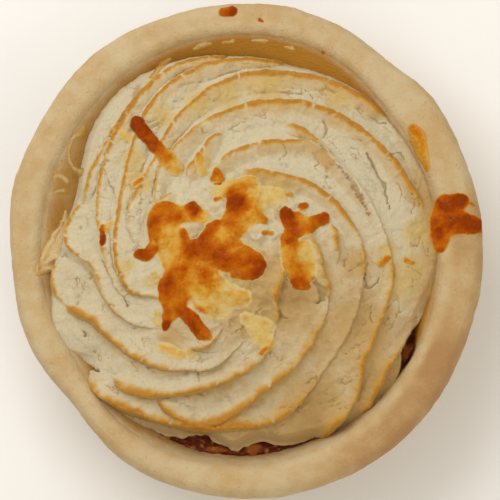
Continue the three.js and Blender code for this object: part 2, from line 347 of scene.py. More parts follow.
class Board:
    """A material's board of shader nodes."""

    def __init__(self, name: str) -> None:
        """Starts an empty board for the finish of that name."""
        self.material = bpy.data.materials.new(name)
        self.material.use_nodes = True
        self.tree = self.material.node_tree
        self.tree.nodes.clear()
        self.place = self.signal("ShaderNodeTexCoord", {}, {}, "Object")

    def node(self, kind: str, settings: dict, inputs: dict) -> bpy.types.Node:
        """Adds a node.

        Args:
            kind: Blender's name for the node's type.
            settings: its settings, and a ramp's stops as pairs of place and colour.
            inputs: a value or a signal for each of its sockets, by name or number.

        Returns:
            The new node.
        """
        made = self.tree.nodes.new(kind)
        for key, value in settings.items():
            if key == "stops":
                self._set_stops(made.color_ramp, value)
            else:
                setattr(made, key, value)
        for key, value in inputs.items():
            if isinstance(value, Signal):
                self.tree.links.new(value.socket, made.inputs[key])
            else:
                made.inputs[key].default_value = value
        return made

    @staticmethod
    def _set_stops(ramp: bpy.types.ColorRamp, stops: Sequence[tuple[float, Colour]]) -> None:
        """Sets a ramp's stops.

        Args:
            ramp: the ramp.
            stops: the place and the colour of each.
        """
        while len(ramp.elements) < len(stops):
            ramp.elements.new(1.0)
        for element, (place, colour) in zip(ramp.elements, stops):
            element.position = place
            element.color = (*colour, 1.0)

    def signal(self, kind: str, settings: dict, inputs: dict, output: Union[str, int] = 0) -> Signal:
        """Adds a node and returns the signal at one of its outputs, as node() adds it."""
        return Signal(self, self.node(kind, settings, inputs).outputs[output])

    def maths(self, operation: str, first: Value, second: Value) -> Signal:
        """Adds a Math node and returns its result."""
        return self.signal("ShaderNodeMath", {"operation": operation}, {0: first, 1: second})

    def attribute(self, name: str) -> Signal:
        """Returns a value that the mesh holds for each of its points."""
        return self.signal("ShaderNodeAttribute", {"attribute_name": name}, {}, "Fac")

    def noise(self, size: float, detail: float) -> Signal:
        """Returns even noise with lumps of that size and that many finer layers, mostly near 0.5."""
        inputs = {"Vector": self.place, "Scale": 1.0 / (size * METRE), "Detail": detail}
        return self.signal("ShaderNodeTexNoise", {}, inputs, "Fac")

    def noises(self, grains: Grains) -> list[Signal]:
        """Returns even noise of each grain."""
        return [self.noise(*grain) for grain in grains]

    def cells(self, size: float) -> Signal:
        """Returns the distance to the nearest of scattered points, as a share of their spacing."""
        inputs = {"Vector": self.place, "Scale": 1.0 / (size * METRE)}
        return self.signal("ShaderNodeTexVoronoi", {}, inputs, "Distance")

    def crazing(self, size: float, warp: float) -> Signal:
        """Gives the distance to the edges of crazed cells.

        Args:
            size: the width of the cells.
            warp: how far their edges wander.

        Returns:
            The distance, as a share of their width.
        """
        drifting = {"Vector": self.place, "Scale": DRIFTS_TO_A_CELL / (size * METRE)}
        drift = self.signal("ShaderNodeTexNoise", {}, drifting, "Color")
        push = {0: drift, 1: (warp * METRE,) * 3, 2: self.place}
        pushed = self.signal("ShaderNodeVectorMath", {"operation": "MULTIPLY_ADD"}, push)
        inputs = {"Vector": pushed, "Scale": 1.0 / (size * METRE)}
        return self.signal("ShaderNodeTexVoronoi", {"feature": "DISTANCE_TO_EDGE"}, inputs, "Distance")

    def blend(self, share: Value, under: Union[Signal, Colour], over: Colour) -> Signal:
        """Lays one colour over another.

        Args:
            share: how much of the upper colour shows.
            under: the lower colour.
            over: the upper colour.

        Returns:
            The mixed colour.
        """
        settings = {"data_type": "RGBA", "clamp_factor": True}
        lower = under if isinstance(under, Signal) else (*under, 1.0)
        inputs = {MIX_SHARE: share, MIX_UNDER: lower, MIX_OVER: (*over, 1.0)}
        return self.signal("ShaderNodeMix", settings, inputs, MIX_RESULT)

    def bump(self, height: Signal, depth: float, strength: float) -> Signal:
        """Turns a height into a surface direction.

        Args:
            height: the height, from 0 to 1.
            depth: how deep a height of 1 is.
            strength: how much of it shows.

        Returns:
            The direction.
        """
        inputs = {"Strength": strength, "Distance": depth * METRE, "Height": height}
        return self.signal("ShaderNodeBump", {}, inputs, "Normal")

    def finish(self, inputs: dict) -> Material:
        """Closes the board with its surface.

        Args:
            inputs: the surface's sockets, by name.

        Returns:
            The material.
        """
        surface = self.signal("ShaderNodeBsdfPrincipled", {}, inputs, "BSDF")
        self.node("ShaderNodeOutputMaterial", {}, {"Surface": surface})
        return self.material


# Finishes


@dataclass(frozen=True)
class PastryFinish:
    """Dry shortcrust: pale and grainy, browned where it baked hardest and as painted shade, ochre where the
    filling soaked in.
    """

    pale: Colour = (0.542, 0.43, 0.248)
    warm: Colour = (0.485, 0.32, 0.14)
    brown: Colour = (0.36, 0.18, 0.065)
    soaked: Colour = (0.39, 0.175, 0.012)
    flour: Colour = (0.60, 0.47, 0.27)
    grains: Grains = ((14.0, 3.0), (3.2, 3.0), (0.75, 4.0), (0.3, 2.0))
    pore_size: float = 1.5
    pore_edge: Rise = (0.02, 0.22)
    pore_stain: float = 0.35
    baked_mottling: Weights = (0.5, 0.45, 0.35)
    soaked_mottling: Weights = (0.25,)
    warm_noise: Weights = (1.0, 0.6)
    flour_noise: Weights = (0.6, 0.4)
    # Where each colour comes in
    warm_patches: Rise = (0.55, 1.1)
    flour_specks: Rise = (0.5, 0.7, 0.5)
    warming: Rise = (0.05, 0.95, 0.85)
    browning: Rise = (0.45, 1.4, 0.8)
    soaking: Rise = (0.1, 0.85)
    roughness: float = 0.82
    soaked_gloss: Rise = (0.2, 0.9, 0.3)
    baked_gloss: Rise = (0.4, 1.0, 0.1)
    specular: float = 0.3
    relief: Weights = (0.6, 0.6, 0.6, 0.25)
    relief_depth: float = 0.5
    relief_strength: float = 0.75

    def material(self) -> Material:
        """Makes the finish.

        Returns:
            The material, which reads the mesh's baked and soaked values.
        """
        board = Board("shortcrust")
        broad, mottle, grain, fine = board.noises(self.grains)
        pores = board.cells(self.pore_size).rise(*self.pore_edge)
        baked = board.attribute("baked").mottled((mottle, grain, fine), self.baked_mottling)
        soaked = board.attribute("soaked").mottled((mottle,), self.soaked_mottling)
        patches = weighed((broad, mottle), self.warm_noise)
        specks = weighed((grain, fine), self.flour_noise)
        colour = board.blend(patches.rise(*self.warm_patches), self.pale, self.warm)
        colour = board.blend(specks.rise(*self.flour_specks), colour, self.flour)
        # The baked value also lays painted shade, warm and brown, on the rim's lower right
        colour = board.blend(baked.rise(*self.warming), colour, self.warm)
        colour = board.blend(baked.rise(*self.browning), colour, self.brown)
        colour = board.blend(soaked.rise(*self.soaking), colour, self.soaked)
        colour = board.blend((1.0 - pores) * self.pore_stain, colour, self.brown)
        height = weighed((mottle, grain, fine, pores), self.relief)
        return board.finish({
            "Base Color": colour,
            "Roughness": self.roughness - soaked.rise(*self.soaked_gloss) - baked.rise(*self.baked_gloss),
            "Specular IOR Level": self.specular,
            "Normal": board.bump(height, self.relief_depth, self.relief_strength),
        })


@dataclass(frozen=True)
class MashFinish:
    """Baked mashed potato: pale, mealy, browned on crests, yellow where fat ran; painted shade in tan and in
    dark cracks.
    """

    pale: Colour = (0.572, 0.503, 0.345)
    # cream is partly the golden colour of oily faces and partly painted shade on faces turned from the lamp
    cream: Colour = (0.485, 0.325, 0.13)
    fat: Colour = (0.55, 0.39, 0.12)
    gold: Colour = (0.52, 0.295, 0.042)
    brown: Colour = (0.42, 0.175, 0.011)
    # crack is painted shade in the cracks, pits and crazing, which the mesh and the bump also cut in
    crack: Colour = (0.31, 0.18, 0.055)
    # deep is painted shade in creases and on the most shaded faces, and also the colour of the grain's darker
    # specks
    deep: Colour = (0.38, 0.235, 0.085)
    grains: Grains = ((9.0, 2.0), (2.2, 3.0), (0.6, 3.0), (0.26, 2.0))
    pit_size: float = 2.1
    pit_edge: Rise = (0.02, 0.12)
    pitted: Rise = (0.5, 0.65, 0.4)
    # How much of the mesh's tan, which is partly painted shade, shows, and the level about which it is patchy
    tan_share: float = 0.85
    tan_level: float = 0.38
    tan_patches: float = 0.55
    tan_mottling: Weights = (0.45,)
    fat_mottling: Weights = (0.35,)
    toast_mottling: Weights = (0.25, 0.3, 0.25)
    # Where each colour comes in
    creaming: Rise = (0.0, 0.8)
    deep_shading: Rise = (0.75, 1.35, 0.85)
    yellowing: Rise = (0.1, 0.95, 0.75)
    gilding: Rise = (0.05, 0.6, 0.92)
    browning: Rise = (0.4, 0.95, 0.85)
    cracking: Rise = (0.15, 0.9, 0.55)
    shading: Rise = (0.5, 0.75, 0.27)
    craze_size: float = 2.6
    craze_warp: float = 3.6
    craze_patches: Rise = (0.54, 0.72, 0.03)
    craze_edge: Rise = (0.0, 0.03)
    craze_share: float = 0.45
    roughness: float = 0.75
    fat_gloss: Rise = (0.3, 0.9, 0.2)
    toast_gloss: Rise = (0.5, 1.0, 0.1)
    specular: float = 0.25
    scatter: float = 0.4
    scatter_radius: Colour = (1.0, 0.6, 0.25)
    scatter_depth: float = 1.2
    relief: Weights = (0.3, 0.4, 0.45, 0.3, -0.5)
    relief_depth: float = 0.43
    relief_strength: float = 0.8

    def material(self) -> Material:
        """Makes the finish.

        Returns:
            The material, which reads the mesh's brown, fat, crack and tan values, the tan carrying painted
            shade.
        """
        board = Board("mashed_potato")
        broad, mottle, grain, fine = board.noises(self.grains)
        pits = board.cells(self.pit_size).rise(*self.pit_edge)
        tan = board.attribute("tan") * self.tan_share + (broad - self.tan_level) * self.tan_patches
        tan = tan.mottled((mottle,), self.tan_mottling)
        fat = board.attribute("fat").mottled((mottle,), self.fat_mottling)
        toasted = board.attribute("brown").mottled((grain, fine, mottle), self.toast_mottling)
        edges = board.crazing(self.craze_size, self.craze_warp)
        crazed = (broad.rise(*self.craze_patches) - edges).rise(*self.craze_edge)
        crack = board.attribute("crack") + (1.0 - pits) * mottle.rise(*self.pitted)
        crack = crack + crazed * self.craze_share
        # Painted shade: the tan value lays cream, then deep, on faces turned from the lamp, in creases and
        # below crests
        colour = board.blend(tan.rise(*self.creaming), self.pale, self.cream)
        colour = board.blend(tan.rise(*self.deep_shading), colour, self.deep)
        colour = board.blend(fat.rise(*self.yellowing), colour, self.fat)
        colour = board.blend(toasted.rise(*self.gilding), colour, self.gold)
        colour = board.blend(toasted.rise(*self.browning), colour, self.brown)
        # Painted shade in the cracks, pits and crazing
        colour = board.blend(crack.rise(*self.cracking), colour, self.crack)
        colour = board.blend((1.0 - grain).rise(*self.shading), colour, self.deep)
        height = weighed((mottle, grain, fine, pits, crazed), self.relief)
        return board.finish({
            "Base Color": colour,
            "Roughness": self.roughness - fat.rise(*self.fat_gloss) - toasted.rise(*self.toast_gloss),
            "Specular IOR Level": self.specular,
            "Subsurface Weight": self.scatter,
            "Subsurface Radius": self.scatter_radius,
            "Subsurface Scale": self.scatter_depth * METRE,
            "Normal": board.bump(height, self.relief_depth, self.relief_strength),
        })


@dataclass(frozen=True)
class CheeseFinish:
    """Melted cheese: pale where it is thin, gold, then red-brown where it has toasted, with an oily gloss."""

    name: str = "melted_cheese"
    pale: Colour = (0.57, 0.42, 0.15)
    gold: Colour = (0.54, 0.275, 0.032)
    amber: Colour = (0.47, 0.14, 0.005)
    brown: Colour = (0.37, 0.07, 0.0015)
    dark: Colour = (0.23, 0.034, 0.001)
    thin: Colour = (0.57, 0.44, 0.20)
    grains: Grains = ((5.0, 2.0), (2.0, 3.0), (0.7, 3.0), (0.25, 2.0))
    toast_mottling: Weights = (0.8, 0.4, 0.3)
    # How toasted it is where each colour shows in full
    toast_levels: tuple[float, ...] = (0.0, 0.3, 0.54, 0.78, 1.0)
    film_mottling: Weights = (0.5,)
    covering: Rise = (0.0, 0.9)
    blister_size: float = 1.1
    blister_edge: Rise = (0.1, 0.5)
    roughness: float = 0.6
    grain_gloss: float = 0.2
    specular: float = 0.02
    # Oil glints on fine specks, in patches, where it has toasted
    oil_specks: Rise = (0.6, 0.7, 0.8)
    oil_patches: Rise = (0.52, 0.62)
    oil_toast: Rise = (0.35, 0.7)
    oil_roughness: float = 0.1
    oil_index: float = 1.8
    relief: Weights = (0.5, 0.3, 0.25, 0.12)
    relief_depth: float = 0.48
    relief_strength: float = 0.7

    def material(self) -> Material:
        """Makes the finish.

        Returns:
            The material, which reads the mesh's toast and film values.
        """
        board = Board(self.name)
        broad, mottle, grain, fine = board.noises(self.grains)
        toast = board.attribute("toast").mottled((broad, mottle, grain), self.toast_mottling)
        film = board.attribute("film").mottled((grain,), self.film_mottling)
        blisters = board.cells(self.blister_size).rise(*self.blister_edge)
        tones = (self.pale, self.gold, self.amber, self.brown, self.dark)
        stops = list(zip(self.toast_levels, tones))
        colour = board.signal("ShaderNodeValToRGB", {"stops": stops}, {"Fac": toast}, "Color")
        colour = board.blend(1.0 - film.rise(*self.covering), colour, self.thin)
        oil = fine.rise(*self.oil_specks) * mottle.rise(*self.oil_patches) * toast.rise(*self.oil_toast)
        height = weighed((mottle, blisters, grain, fine), self.relief)
        return board.finish({
            "Base Color": colour,
            "Roughness": self.roughness - grain * self.grain_gloss,
            "Specular IOR Level": self.specular,
            "Coat Weight": oil,
            "Coat Roughness": self.oil_roughness,
            "Coat IOR": self.oil_index,
            "Normal": board.bump(height, self.relief_depth, self.relief_strength),
        })


@dataclass(frozen=True)
class MinceFinish:
    """Minced meat in dark gravy: glossy, nearly black in its hollows."""

    gravy: Colour = (0.10, 0.012, 0.001)
    meat: Colour = (0.28, 0.075, 0.008)
    fat: Colour = (0.46, 0.20, 0.05)
    grains: Grains = ((2.0, 3.0), (0.6, 3.0))
    lump_mottling: Weights = (0.5,)
    meat_shows: Rise = (0.3, 0.8)
    fat_shows: Rise = (0.52, 0.68, 0.6)
    roughness: float = 0.3
    grain_dullness: float = 0.3
    specular: float = 0.1
    gravy_gloss: float = 0.12
    gravy_roughness: float = 0.12
    relief: Weights = (0.6, 0.5)
    relief_depth: float = 0.4
    relief_strength: float = 0.8

    def material(self) -> Material:
        """Makes the finish.

        Returns:
            The material, which reads the mesh's lump value.
        """
        board = Board("mince_in_gravy")
        mottle, grain = board.noises(self.grains)
        lump = board.attribute("lump").mottled((grain,), self.lump_mottling)
        colour = board.blend(lump.rise(*self.meat_shows), self.gravy, self.meat)
        colour = board.blend(mottle.rise(*self.fat_shows), colour, self.fat)
        height = weighed((grain, mottle), self.relief)
        return board.finish({
            "Base Color": colour,
            "Roughness": self.roughness + grain * self.grain_dullness,
            "Specular IOR Level": self.specular,
            "Coat Weight": mottle * self.gravy_gloss,
            "Coat Roughness": self.gravy_roughness,
            "Normal": board.bump(height, self.relief_depth, self.relief_strength),
        })


@dataclass(frozen=True)
class FloorFinish:
    """A plain pale studio floor."""

    tone: Colour = (0.86, 0.855, 0.845)
    worn: Colour = (0.82, 0.815, 0.805)
    grain: tuple[float, float] = (90.0, 2.0)
    wear: Rise = (0.3, 0.7)
    roughness: float = 0.7

    def material(self) -> Material:
        """Makes the finish.

        Returns:
            The material.
        """
        board = Board("studio_floor")
        colour = board.blend(board.noise(*self.grain).rise(*self.wear), self.tone, self.worn)
        return board.finish({"Base Color": colour, "Roughness": self.roughness})


# Meshes


def new_piece(
    name: str, points: Array, faces: Sequence, values: dict[str, Array], material: Material
) -> Piece:
    """Makes a smooth-shaded mesh object.

    Args:
        name: the piece's name.
        points: its points, one a row.
        faces: its faces, as lists of point numbers.
        values: a value for each point, under each name that its finish reads.
        material: its finish.

    Returns:
        The object, linked to the scene.
    """
    mesh = bpy.data.meshes.new(name)
    mesh.from_pydata((np.asarray(points) * METRE).tolist(), [], faces)
    mesh.polygons.foreach_set("use_smooth", np.ones(len(mesh.polygons), bool))
    for key, column in values.items():
        layer = mesh.attributes.new(key, "FLOAT", "POINT")
        layer.data.foreach_set("value", np.asarray(column, np.float32))
    mesh.materials.append(material)
    piece = bpy.data.objects.new(name, mesh)
    bpy.context.scene.collection.objects.link(piece)
    return piece


def turned_faces(rings: int, sides: int) -> list[list[int]]:
    """Gives the faces of a closed turned form.

    Its points are the first pole, the rings in order and the last pole. The rings run from the middle of the
    underside outwards, up and back in to the middle of the top.

    Args:
        rings: how many rings it has.
        sides: how many points each ring has.

    Returns:
        The faces, which point out.
    """
    this = np.arange(sides)
    then = np.roll(this, -1)
    row = 1 + sides * np.arange(rings - 1)[:, None]
    quads = np.stack([row + this, row + then, row + sides + then, row + sides + this], axis=-1)
    last, top = 1 + sides * (rings - 1), 1 + sides * rings
    under = np.stack([np.zeros(sides, int), 1 + then, 1 + this], axis=-1)
    over = np.stack([last + this, last + then, np.full(sides, top)], axis=-1)
    return quads.reshape(-1, 4).tolist() + under.tolist() + over.tolist()


def turned_points(rings: Array) -> Array:
    """Lists the points of a closed turned form.

    Args:
        rings: the points of each ring, as rings by sides by 3.

    Returns:
        The points with a pole at the middle of the first and of the last ring, one a row.
    """
    poles = [rings[0].mean(axis=0)[None], rings[-1].mean(axis=0)[None]]
    return np.vstack([poles[0], rings.reshape(-1, 3), poles[1]])


# An even disc has one point in its middle, and this many more in each ring than in the last
SECTORS = 6


def disc_start(ring: int) -> int:
    """Returns the number of the first point of a ring of an even disc."""
    return 1 + SECTORS * ring * (ring - 1) // 2


def disc_places(rings: int) -> tuple[Array, Array]:
    """Spreads points evenly over a disc.

    Args:
        rings: how many rings there are.

    Returns:
        The direction of each point, and how far out it is, from 0 to 1.
    """
    number = np.repeat(np.arange(1, rings + 1), SECTORS * np.arange(1, rings + 1))
    step = np.concatenate([np.arange(SECTORS * ring) for ring in range(1, rings + 1)])
    angle = 2 * math.pi * step / (SECTORS * number)
    return np.concatenate([[0.0], angle]), np.concatenate([[0.0], number / rings])


def disc_faces(rings: int) -> list[list[int]]:
    """Gives the faces of a closed form: an even disc on top, its rim let down, and a floor.

    Args:
        rings: how many rings the disc has. Its points are followed by those of the let-down rim and by the
            middle of the floor.

    Returns:
        The faces, which point out.
    """
    sector = np.arange(SECTORS)[:, None]
    found = []
    for outer in range(1, rings + 1):
        inner = outer - 1
        first, start = disc_start(inner), disc_start(outer)
        step, less = np.arange(outer), np.arange(inner)
        there = first + (sector * inner + step) % max(1, SECTORS * inner)
        here = start + (sector * outer + step) % (SECTORS * outer)
        beyond = start + (sector * outer + step + 1) % (SECTORS * outer)
        found.append(np.stack([there, here, beyond], axis=-1).reshape(-1, 3))
        following = first + (sector * inner + less + 1) % max(1, SECTORS * inner)
        found.append(np.stack([there[:, :inner], beyond[:, :inner], following], axis=-1).reshape(-1, 3))
    sides = SECTORS * rings
    top, low = disc_start(rings) + np.arange(sides), disc_start(rings + 1) + np.arange(sides)
    wall = np.stack([low, np.roll(low, -1), np.roll(top, -1), top], axis=-1)
    floor = np.stack([np.full(sides, low[-1] + 1), np.roll(low, -1), low], axis=-1)
    return np.vstack(found).tolist() + wall.tolist() + floor.tolist()


def polar(angle: Array, radius: Array, height: Array) -> Array:
    """Returns points from directions, distances from the pie's axis and heights."""
    return np.stack(np.broadcast_arrays(radius * np.cos(angle), radius * np.sin(angle), height), axis=-1)


# Pastry shell


@dataclass(frozen=True)
class PastryShell:
    """The open pastry case with its rolled rim."""

    base_radius: float = 44.0
    foot_round: float = 2.5
    floor: float = 4.0
    floor_radius: float = 41.5
    shoulder_height: float = 21.0
    shoulder_radius: float = 54.5
    rim_radius: float = 60.6
    rim_edge_height: float = 25.5
    rim_underside: float = 1.0
    rim_round: float = 3.2
    lip_radius: float = 51.7
    lip_height: float = 27.6
    lip_round: float = 1.0
    height: float = 30.0
    rim_oval: float = 1.8
    rim_turn: float = 12.4
    rim_bumps: Bumps = bumps(
        (39, 7, 0.5), (54, 10, -1.1), (82, 9, 0.4), (128, 12, 0.8), (162, 9, 0.7), (188, 12, -0.6),
        (222, 14, -2.3), (335, 14, -0.6),
    )
    # How many waves the rim has round it, where they start and how high they are
    rim_waves: tuple[tuple[int, float, float], ...] = ((3, 0.6, 0.45), (7, 0.0, 0.27))
    lip_oval: float = 2.3
    lip_shift: float = 1.25
    lip_bumps: Bumps = bumps((44, 16, -1.7), (214, 17, -1.9))
    # How far the wall stands in below the lip, where its foot can be seen
    cove: float = 1.2
    cove_bumps: Bumps = bumps(
        (78, 34, 4.2), (165, 26, 3.4), (224, 16, 2.2), (265, 24, -1.2), (-34, 8, -2.4), (-20, 7, 1.4),
        (5, 20, -0.8),
    )
    cove_heights: Rise = (22.5, 29.0)
    # Where the oven caught the rim, and the side below it; the bump at -64 and part of the one at -35 are
    # painted shade on the rim's lower right
    baked_and_shaded_bumps: Bumps = bumps(
        (-35, 27, 1.6), (-64, 16, 0.7), (4, 12, 1.0), (30, 12, 0.3), (66, 20, 0.4), (100, 18, 0.35),
        (172, 20, 0.5),
    )
    baked_across: Rise = (0.05, 0.5)
    baked_level: float = 0.85
    baked_patches: Noise = Noise(8.0, 21, 2, 0.5)
    baked_side: float = 0.4
    baked_side_width: float = 6.0
    rim_heights: Rise = (22.0, 27.0)
    # Where the filling has soaked into the wall
    soaked_over_lip: float = 2.2
    soaked_reach: Rise = (0.0, 5.0)
    soaked_heights: Rise = (3.0, 6.0)
    soaked_level: float = 0.62
    soaked_bumps: Bumps = bumps((86, 34, 0.55), (-22, 12, 0.4), (268, 36, -0.3), (228, 16, 0.2))
    # The unevenness of the dough, out from a ring inside the rim
    swells: tuple[Noise, ...] = (
        Noise(13.0, 11, strength=0.32), Noise(4.5, 12, strength=0.14), Noise(1.8, 13, 2, 0.12),
    )
    dents: Patches = Patches(Noise(3.4, 14), 0.45, 0.8, -0.3)
    uneven_from: Rise = (0.2, 2.5)
    core_share: float = 0.92
    core_height: float = 24.0
    core_stretch: float = 1.4
    # How finely it is cut: round it, over its edges, and down its walls to where the filling hides them
    sides: int = 700
    round_steps: int = 19
    rim_steps: int = 7
    under_rim_steps: int = 12
    side_steps: int = 18
    wall_steps: int = 30
    hidden_steps: int = 4
    hidden_round_steps: int = 3
    hidden_from: float = 17.0

    def rim_swell(self, angle: Array) -> Array:
        """Returns how far the rim's edge stands out of round in each direction."""
        oval = self.rim_oval * np.cos(2 * (angle - math.radians(self.rim_turn)))
        return swollen(angle, self.rim_bumps) - oval

    def lip_swell(self, angle: Array) -> Array:
        """Returns how far the lip stands out of round in each direction."""
        oval = -self.lip_oval * np.cos(2 * angle) - self.lip_shift * np.cos(angle)
        return oval + swollen(angle, self.lip_bumps)

    def rim_lift(self, angle: Array) -> Array:
        """Returns how far the rim lies above or below its level in each direction."""
        return sum(by * np.sin(lobes * angle + start) for lobes, start, by in self.rim_waves)

    def inner_limit(self, angle: Array, height: Array) -> Array:
        """Finds how far out the inside reaches, to the middle of the wall and over all of the rim.

        Args:
            angle: directions.
            height: heights.

        Returns:
            The distance from the axis at each.
        """
        outer = self.base_radius + (self.shoulder_radius - self.base_radius) * height / self.shoulder_height
        inner = self.floor_radius + (self.lip_radius - self.floor_radius) * height / self.lip_height
        middle = (outer + inner) / 2 + ease(height, self.floor, self.lip_height) * self.lip_swell(angle)
        return np.where(height > self.shoulder_height, 2 * self.rim_radius, middle)

    def bake(self, angle: Array, radius: Array, height: Array) -> Pair:
        """Takes the true round shell to the shape that baking left it.

        Args:
            angle: directions.
            radius: distances from the axis.
            height: heights.

        Returns:
            The new distances and heights.
        """
        up = ease(height, self.floor, self.lip_height)
        out = ease(radius, self.lip_radius, self.rim_radius)
        swell = (1 - out) * self.lip_swell(angle) + out * self.rim_swell(angle)
        return radius + up * swell, height + up * self.rim_lift(angle)

    def inner_profile(self) -> Array:
        """Draws the top of the rim and the inside of the wall.

        Returns:
            The distances and heights from the rim's middle to the floor, one a row.
        """
        rim_middle = (self.rim_radius + self.lip_radius) / 2
        lip = (self.lip_radius, self.lip_height)
        brow = (self.lip_radius + self.rim_round, self.height)
        slope = (self.lip_radius - self.floor_radius) / (self.lip_height - self.floor)
        part_way = (self.floor_radius + slope * (self.hidden_from - self.floor), self.hidden_from)
        foot = (self.floor_radius + slope * self.foot_round, self.floor + self.foot_round)
        heel = (self.floor_radius - self.foot_round, self.floor)
        return np.vstack([
            straight((rim_middle, self.height), brow, self.rim_steps),
            bend(brow, (self.lip_radius + self.lip_round, self.height), lip, self.round_steps),
            straight(lip, part_way, self.wall_steps),
            straight(part_way, foot, self.hidden_steps),
            bend(foot, (self.floor_radius, self.floor), heel, self.hidden_round_steps),
            [(self.floor_radius / 2, self.floor)],
        ])

    def outer_profile(self) -> Array:
        """Draws the underside, the side and the rim's edge.

        Returns:
            The distances and heights from the middle of the underside to the rim's middle, one a row.
        """
        rim_middle = (self.rim_radius + self.lip_radius) / 2
        slope = (self.shoulder_radius - self.base_radius) / self.shoulder_height
        heel = (self.base_radius - self.foot_round, 0.0)
        foot = (self.base_radius + slope * self.foot_round, self.foot_round)
        shoulder = (self.shoulder_radius, self.shoulder_height)
        under_rim = (self.rim_radius, self.shoulder_height + self.rim_underside)
        edge = (self.rim_radius, self.rim_edge_height)
        brow = (self.rim_radius - self.rim_round, self.height)
        return np.vstack([
            straight((0.0, 0.0), heel, self.hidden_steps),
            bend(heel, (self.base_radius, 0.0), foot, self.hidden_steps),
            straight(foot, shoulder, self.side_steps),
            bend(shoulder, under_rim, edge, self.under_rim_steps),
            bend(edge, (self.rim_radius, self.height), brow, self.round_steps),
            straight(brow, (rim_middle, self.height), self.rim_steps),
        ])

    def inner_surface(self, angle: Array, profile: Array) -> Pair:
        """Bakes the inner profile, with its cove.

        Args:
            angle: directions.
            profile: the distance and height of each ring.

        Returns:
            The distances and the heights, by ring and direction.
        """
        radius, height = profile[:, :1], profile[:, 1:]
        baked, lifted = self.bake(angle, radius, height)
        below = (1 - ease(height, *self.cove_heights)) * ease(height, self.floor, 3 * self.floor)
        inside = radius <= self.lip_radius
        return baked - inside * below * (self.cove + swollen(angle, self.cove_bumps)), lifted

    def build(self, material: Material) -> Piece:
        """Builds the shell.

        Args:
            material: its finish.

        Returns:
            The piece.
        """
        angle = np.linspace(0.0, 2 * math.pi, self.sides, endpoint=False)
        outer = self.outer_profile()
        outside = polar(angle, *self.bake(angle, outer[:, :1], outer[:, 1:]))
        inside = polar(angle, *self.inner_surface(angle, self.inner_profile()))
        rings = np.concatenate([outside, inside])
        points = turned_points(rings)
        points += self.relief(points)
        faces = turned_faces(len(rings), self.sides)
        return new_piece("pastry_case", points, faces, self.colouring(points), material)

    def relief(self, points: Array) -> Array:
        """Works out the unevenness of rolled, baked dough.

        Args:
            points: the points of the shell.

        Returns:
            How far each moves.
        """
        angle, count = np.arctan2(points[:, 1], points[:, 0]), len(points)
        lifted = ease(points[:, 2], *self.uneven_from)
        core_radius = np.full(count, self.core_share * self.lip_radius)
        away = points - polar(angle, core_radius, np.full(count, self.core_height))
        away[:, 2] *= self.core_stretch
        away /= np.linalg.norm(away, axis=1, keepdims=True)
        return away * ((uneven(points, self.swells) + self.dents.at(points)) * lifted)[:, None]

    def colouring(self, points: Array) -> dict[str, Array]:
        """Works out where the dough is browned, also as painted shade on the rim's lower right, and where the
        filling has soaked in.

        Args:
            points: the points of the shell.

        Returns:
            The baked value, which carries that painted shade too, and the soaked value of each point.
        """
        x, y, height = points.T
        angle, radius = np.arctan2(y, x), np.hypot(x, y)
        lip = self.lip_radius + self.lip_swell(angle)
        rim = self.rim_radius + self.rim_swell(angle)
        across = np.clip((radius - lip) / (rim - lip), 0, 1)
        on_rim = ease(height, *self.rim_heights)
        patchy = self.baked_level + self.baked_patches.at(points)
        on_side = ease(radius, self.base_radius - self.baked_side_width, self.base_radius)
        baked = on_rim * swollen(angle, self.baked_and_shaded_bumps) * ease(across, *self.baked_across) * patchy
        baked += self.baked_side * (1 - on_rim) * on_side * patchy
        inside = ease(lip + self.soaked_over_lip - radius, *self.soaked_reach)
        inside = inside * ease(height, *self.soaked_heights) * (radius < self.inner_limit(angle, height))
        return {"baked": baked, "soaked": inside * (self.soaked_level + swollen(angle, self.soaked_bumps))}


# Mashed potato swirl

# A place on a pleat's crest: its direction and its distance from the swirl's middle, how brown it is there
# and how high
CrestPoint = tuple[float, float, float, float]
# How far beyond a crest a place counts as where no pleat lies
FAR_PAST_CREST = 9.0
FULL_TURN = 360.0


@dataclass(frozen=True)
class Fissure:
    """A crack in the baked mash: where it runs, with half of its width at each place, and its depth."""

    points: tuple[tuple[float, float, float], ...]
    depth: float
    edge: Rise = (0.3, 1.0)
    steps: int = 6

    def share(self, x: Array, y: Array) -> Array:
        """Finds how far into the crack places lie.

        Args:
            x: the places across.
            y: the places along.

        Returns:
            A share for each place, from 0 outside the crack to 1.
        """
        route = smooth_path(self.points, self.steps)
        gaps = np.hypot(x[:, None] - route[:, 0], y[:, None] - route[:, 1]) / route[:, 2]
        return 1 - ease(gaps.min(axis=1), *self.edge)


def fissures(*rows: tuple) -> tuple[Fissure, ...]:
    """Returns a fissure for each row of its depth and its places."""
    return tuple(Fissure(tuple(points), depth) for depth, *points in rows)


@dataclass
class Relief:
    """What the pleats do at places: the highest pleat at each, and how close the next one comes to it."""

    height: Array
    next_height: Array
    past_crest: Array
    brown: Array
    fullness: Array
    hairline: Array
    # How far each place lies in the painted shadow below a crest
    crest_shadow: Array

    @classmethod
    def level(cls, count: int) -> "Relief":
        """Returns the relief of places where no pleat lies."""
        none = [np.zeros(count) for _ in range(6)]
        return cls(none[0], none[1], np.full(count, FAR_PAST_CREST), *none[2:])

    def lay(
        self, near: Array, height: Array, past: Array, brown: Array, fullness: Array, hairline: Array
    ) -> None:
        """Lays one more pleat over the rest.

        Args:
            near: the numbers of the places that it covers.
            height: its height at each of them.
            past: how far beyond its crest each is.
            brown: how brown its crest is there.
            fullness: how full it is there, from 0 at its ends.
            hairline: how much of a crack it has there.
        """
        was = self.height[near]
        higher = height > was
        self.next_height[near] = np.where(higher, was, np.maximum(self.next_height[near], height))
        over = near[higher]
        self.height[over] = height[higher]
        self.past_crest[over] = past[higher]
        self.brown[over] = brown[higher]
        self.fullness[over] = fullness[higher]
        self.hairline[over] = hairline[higher]


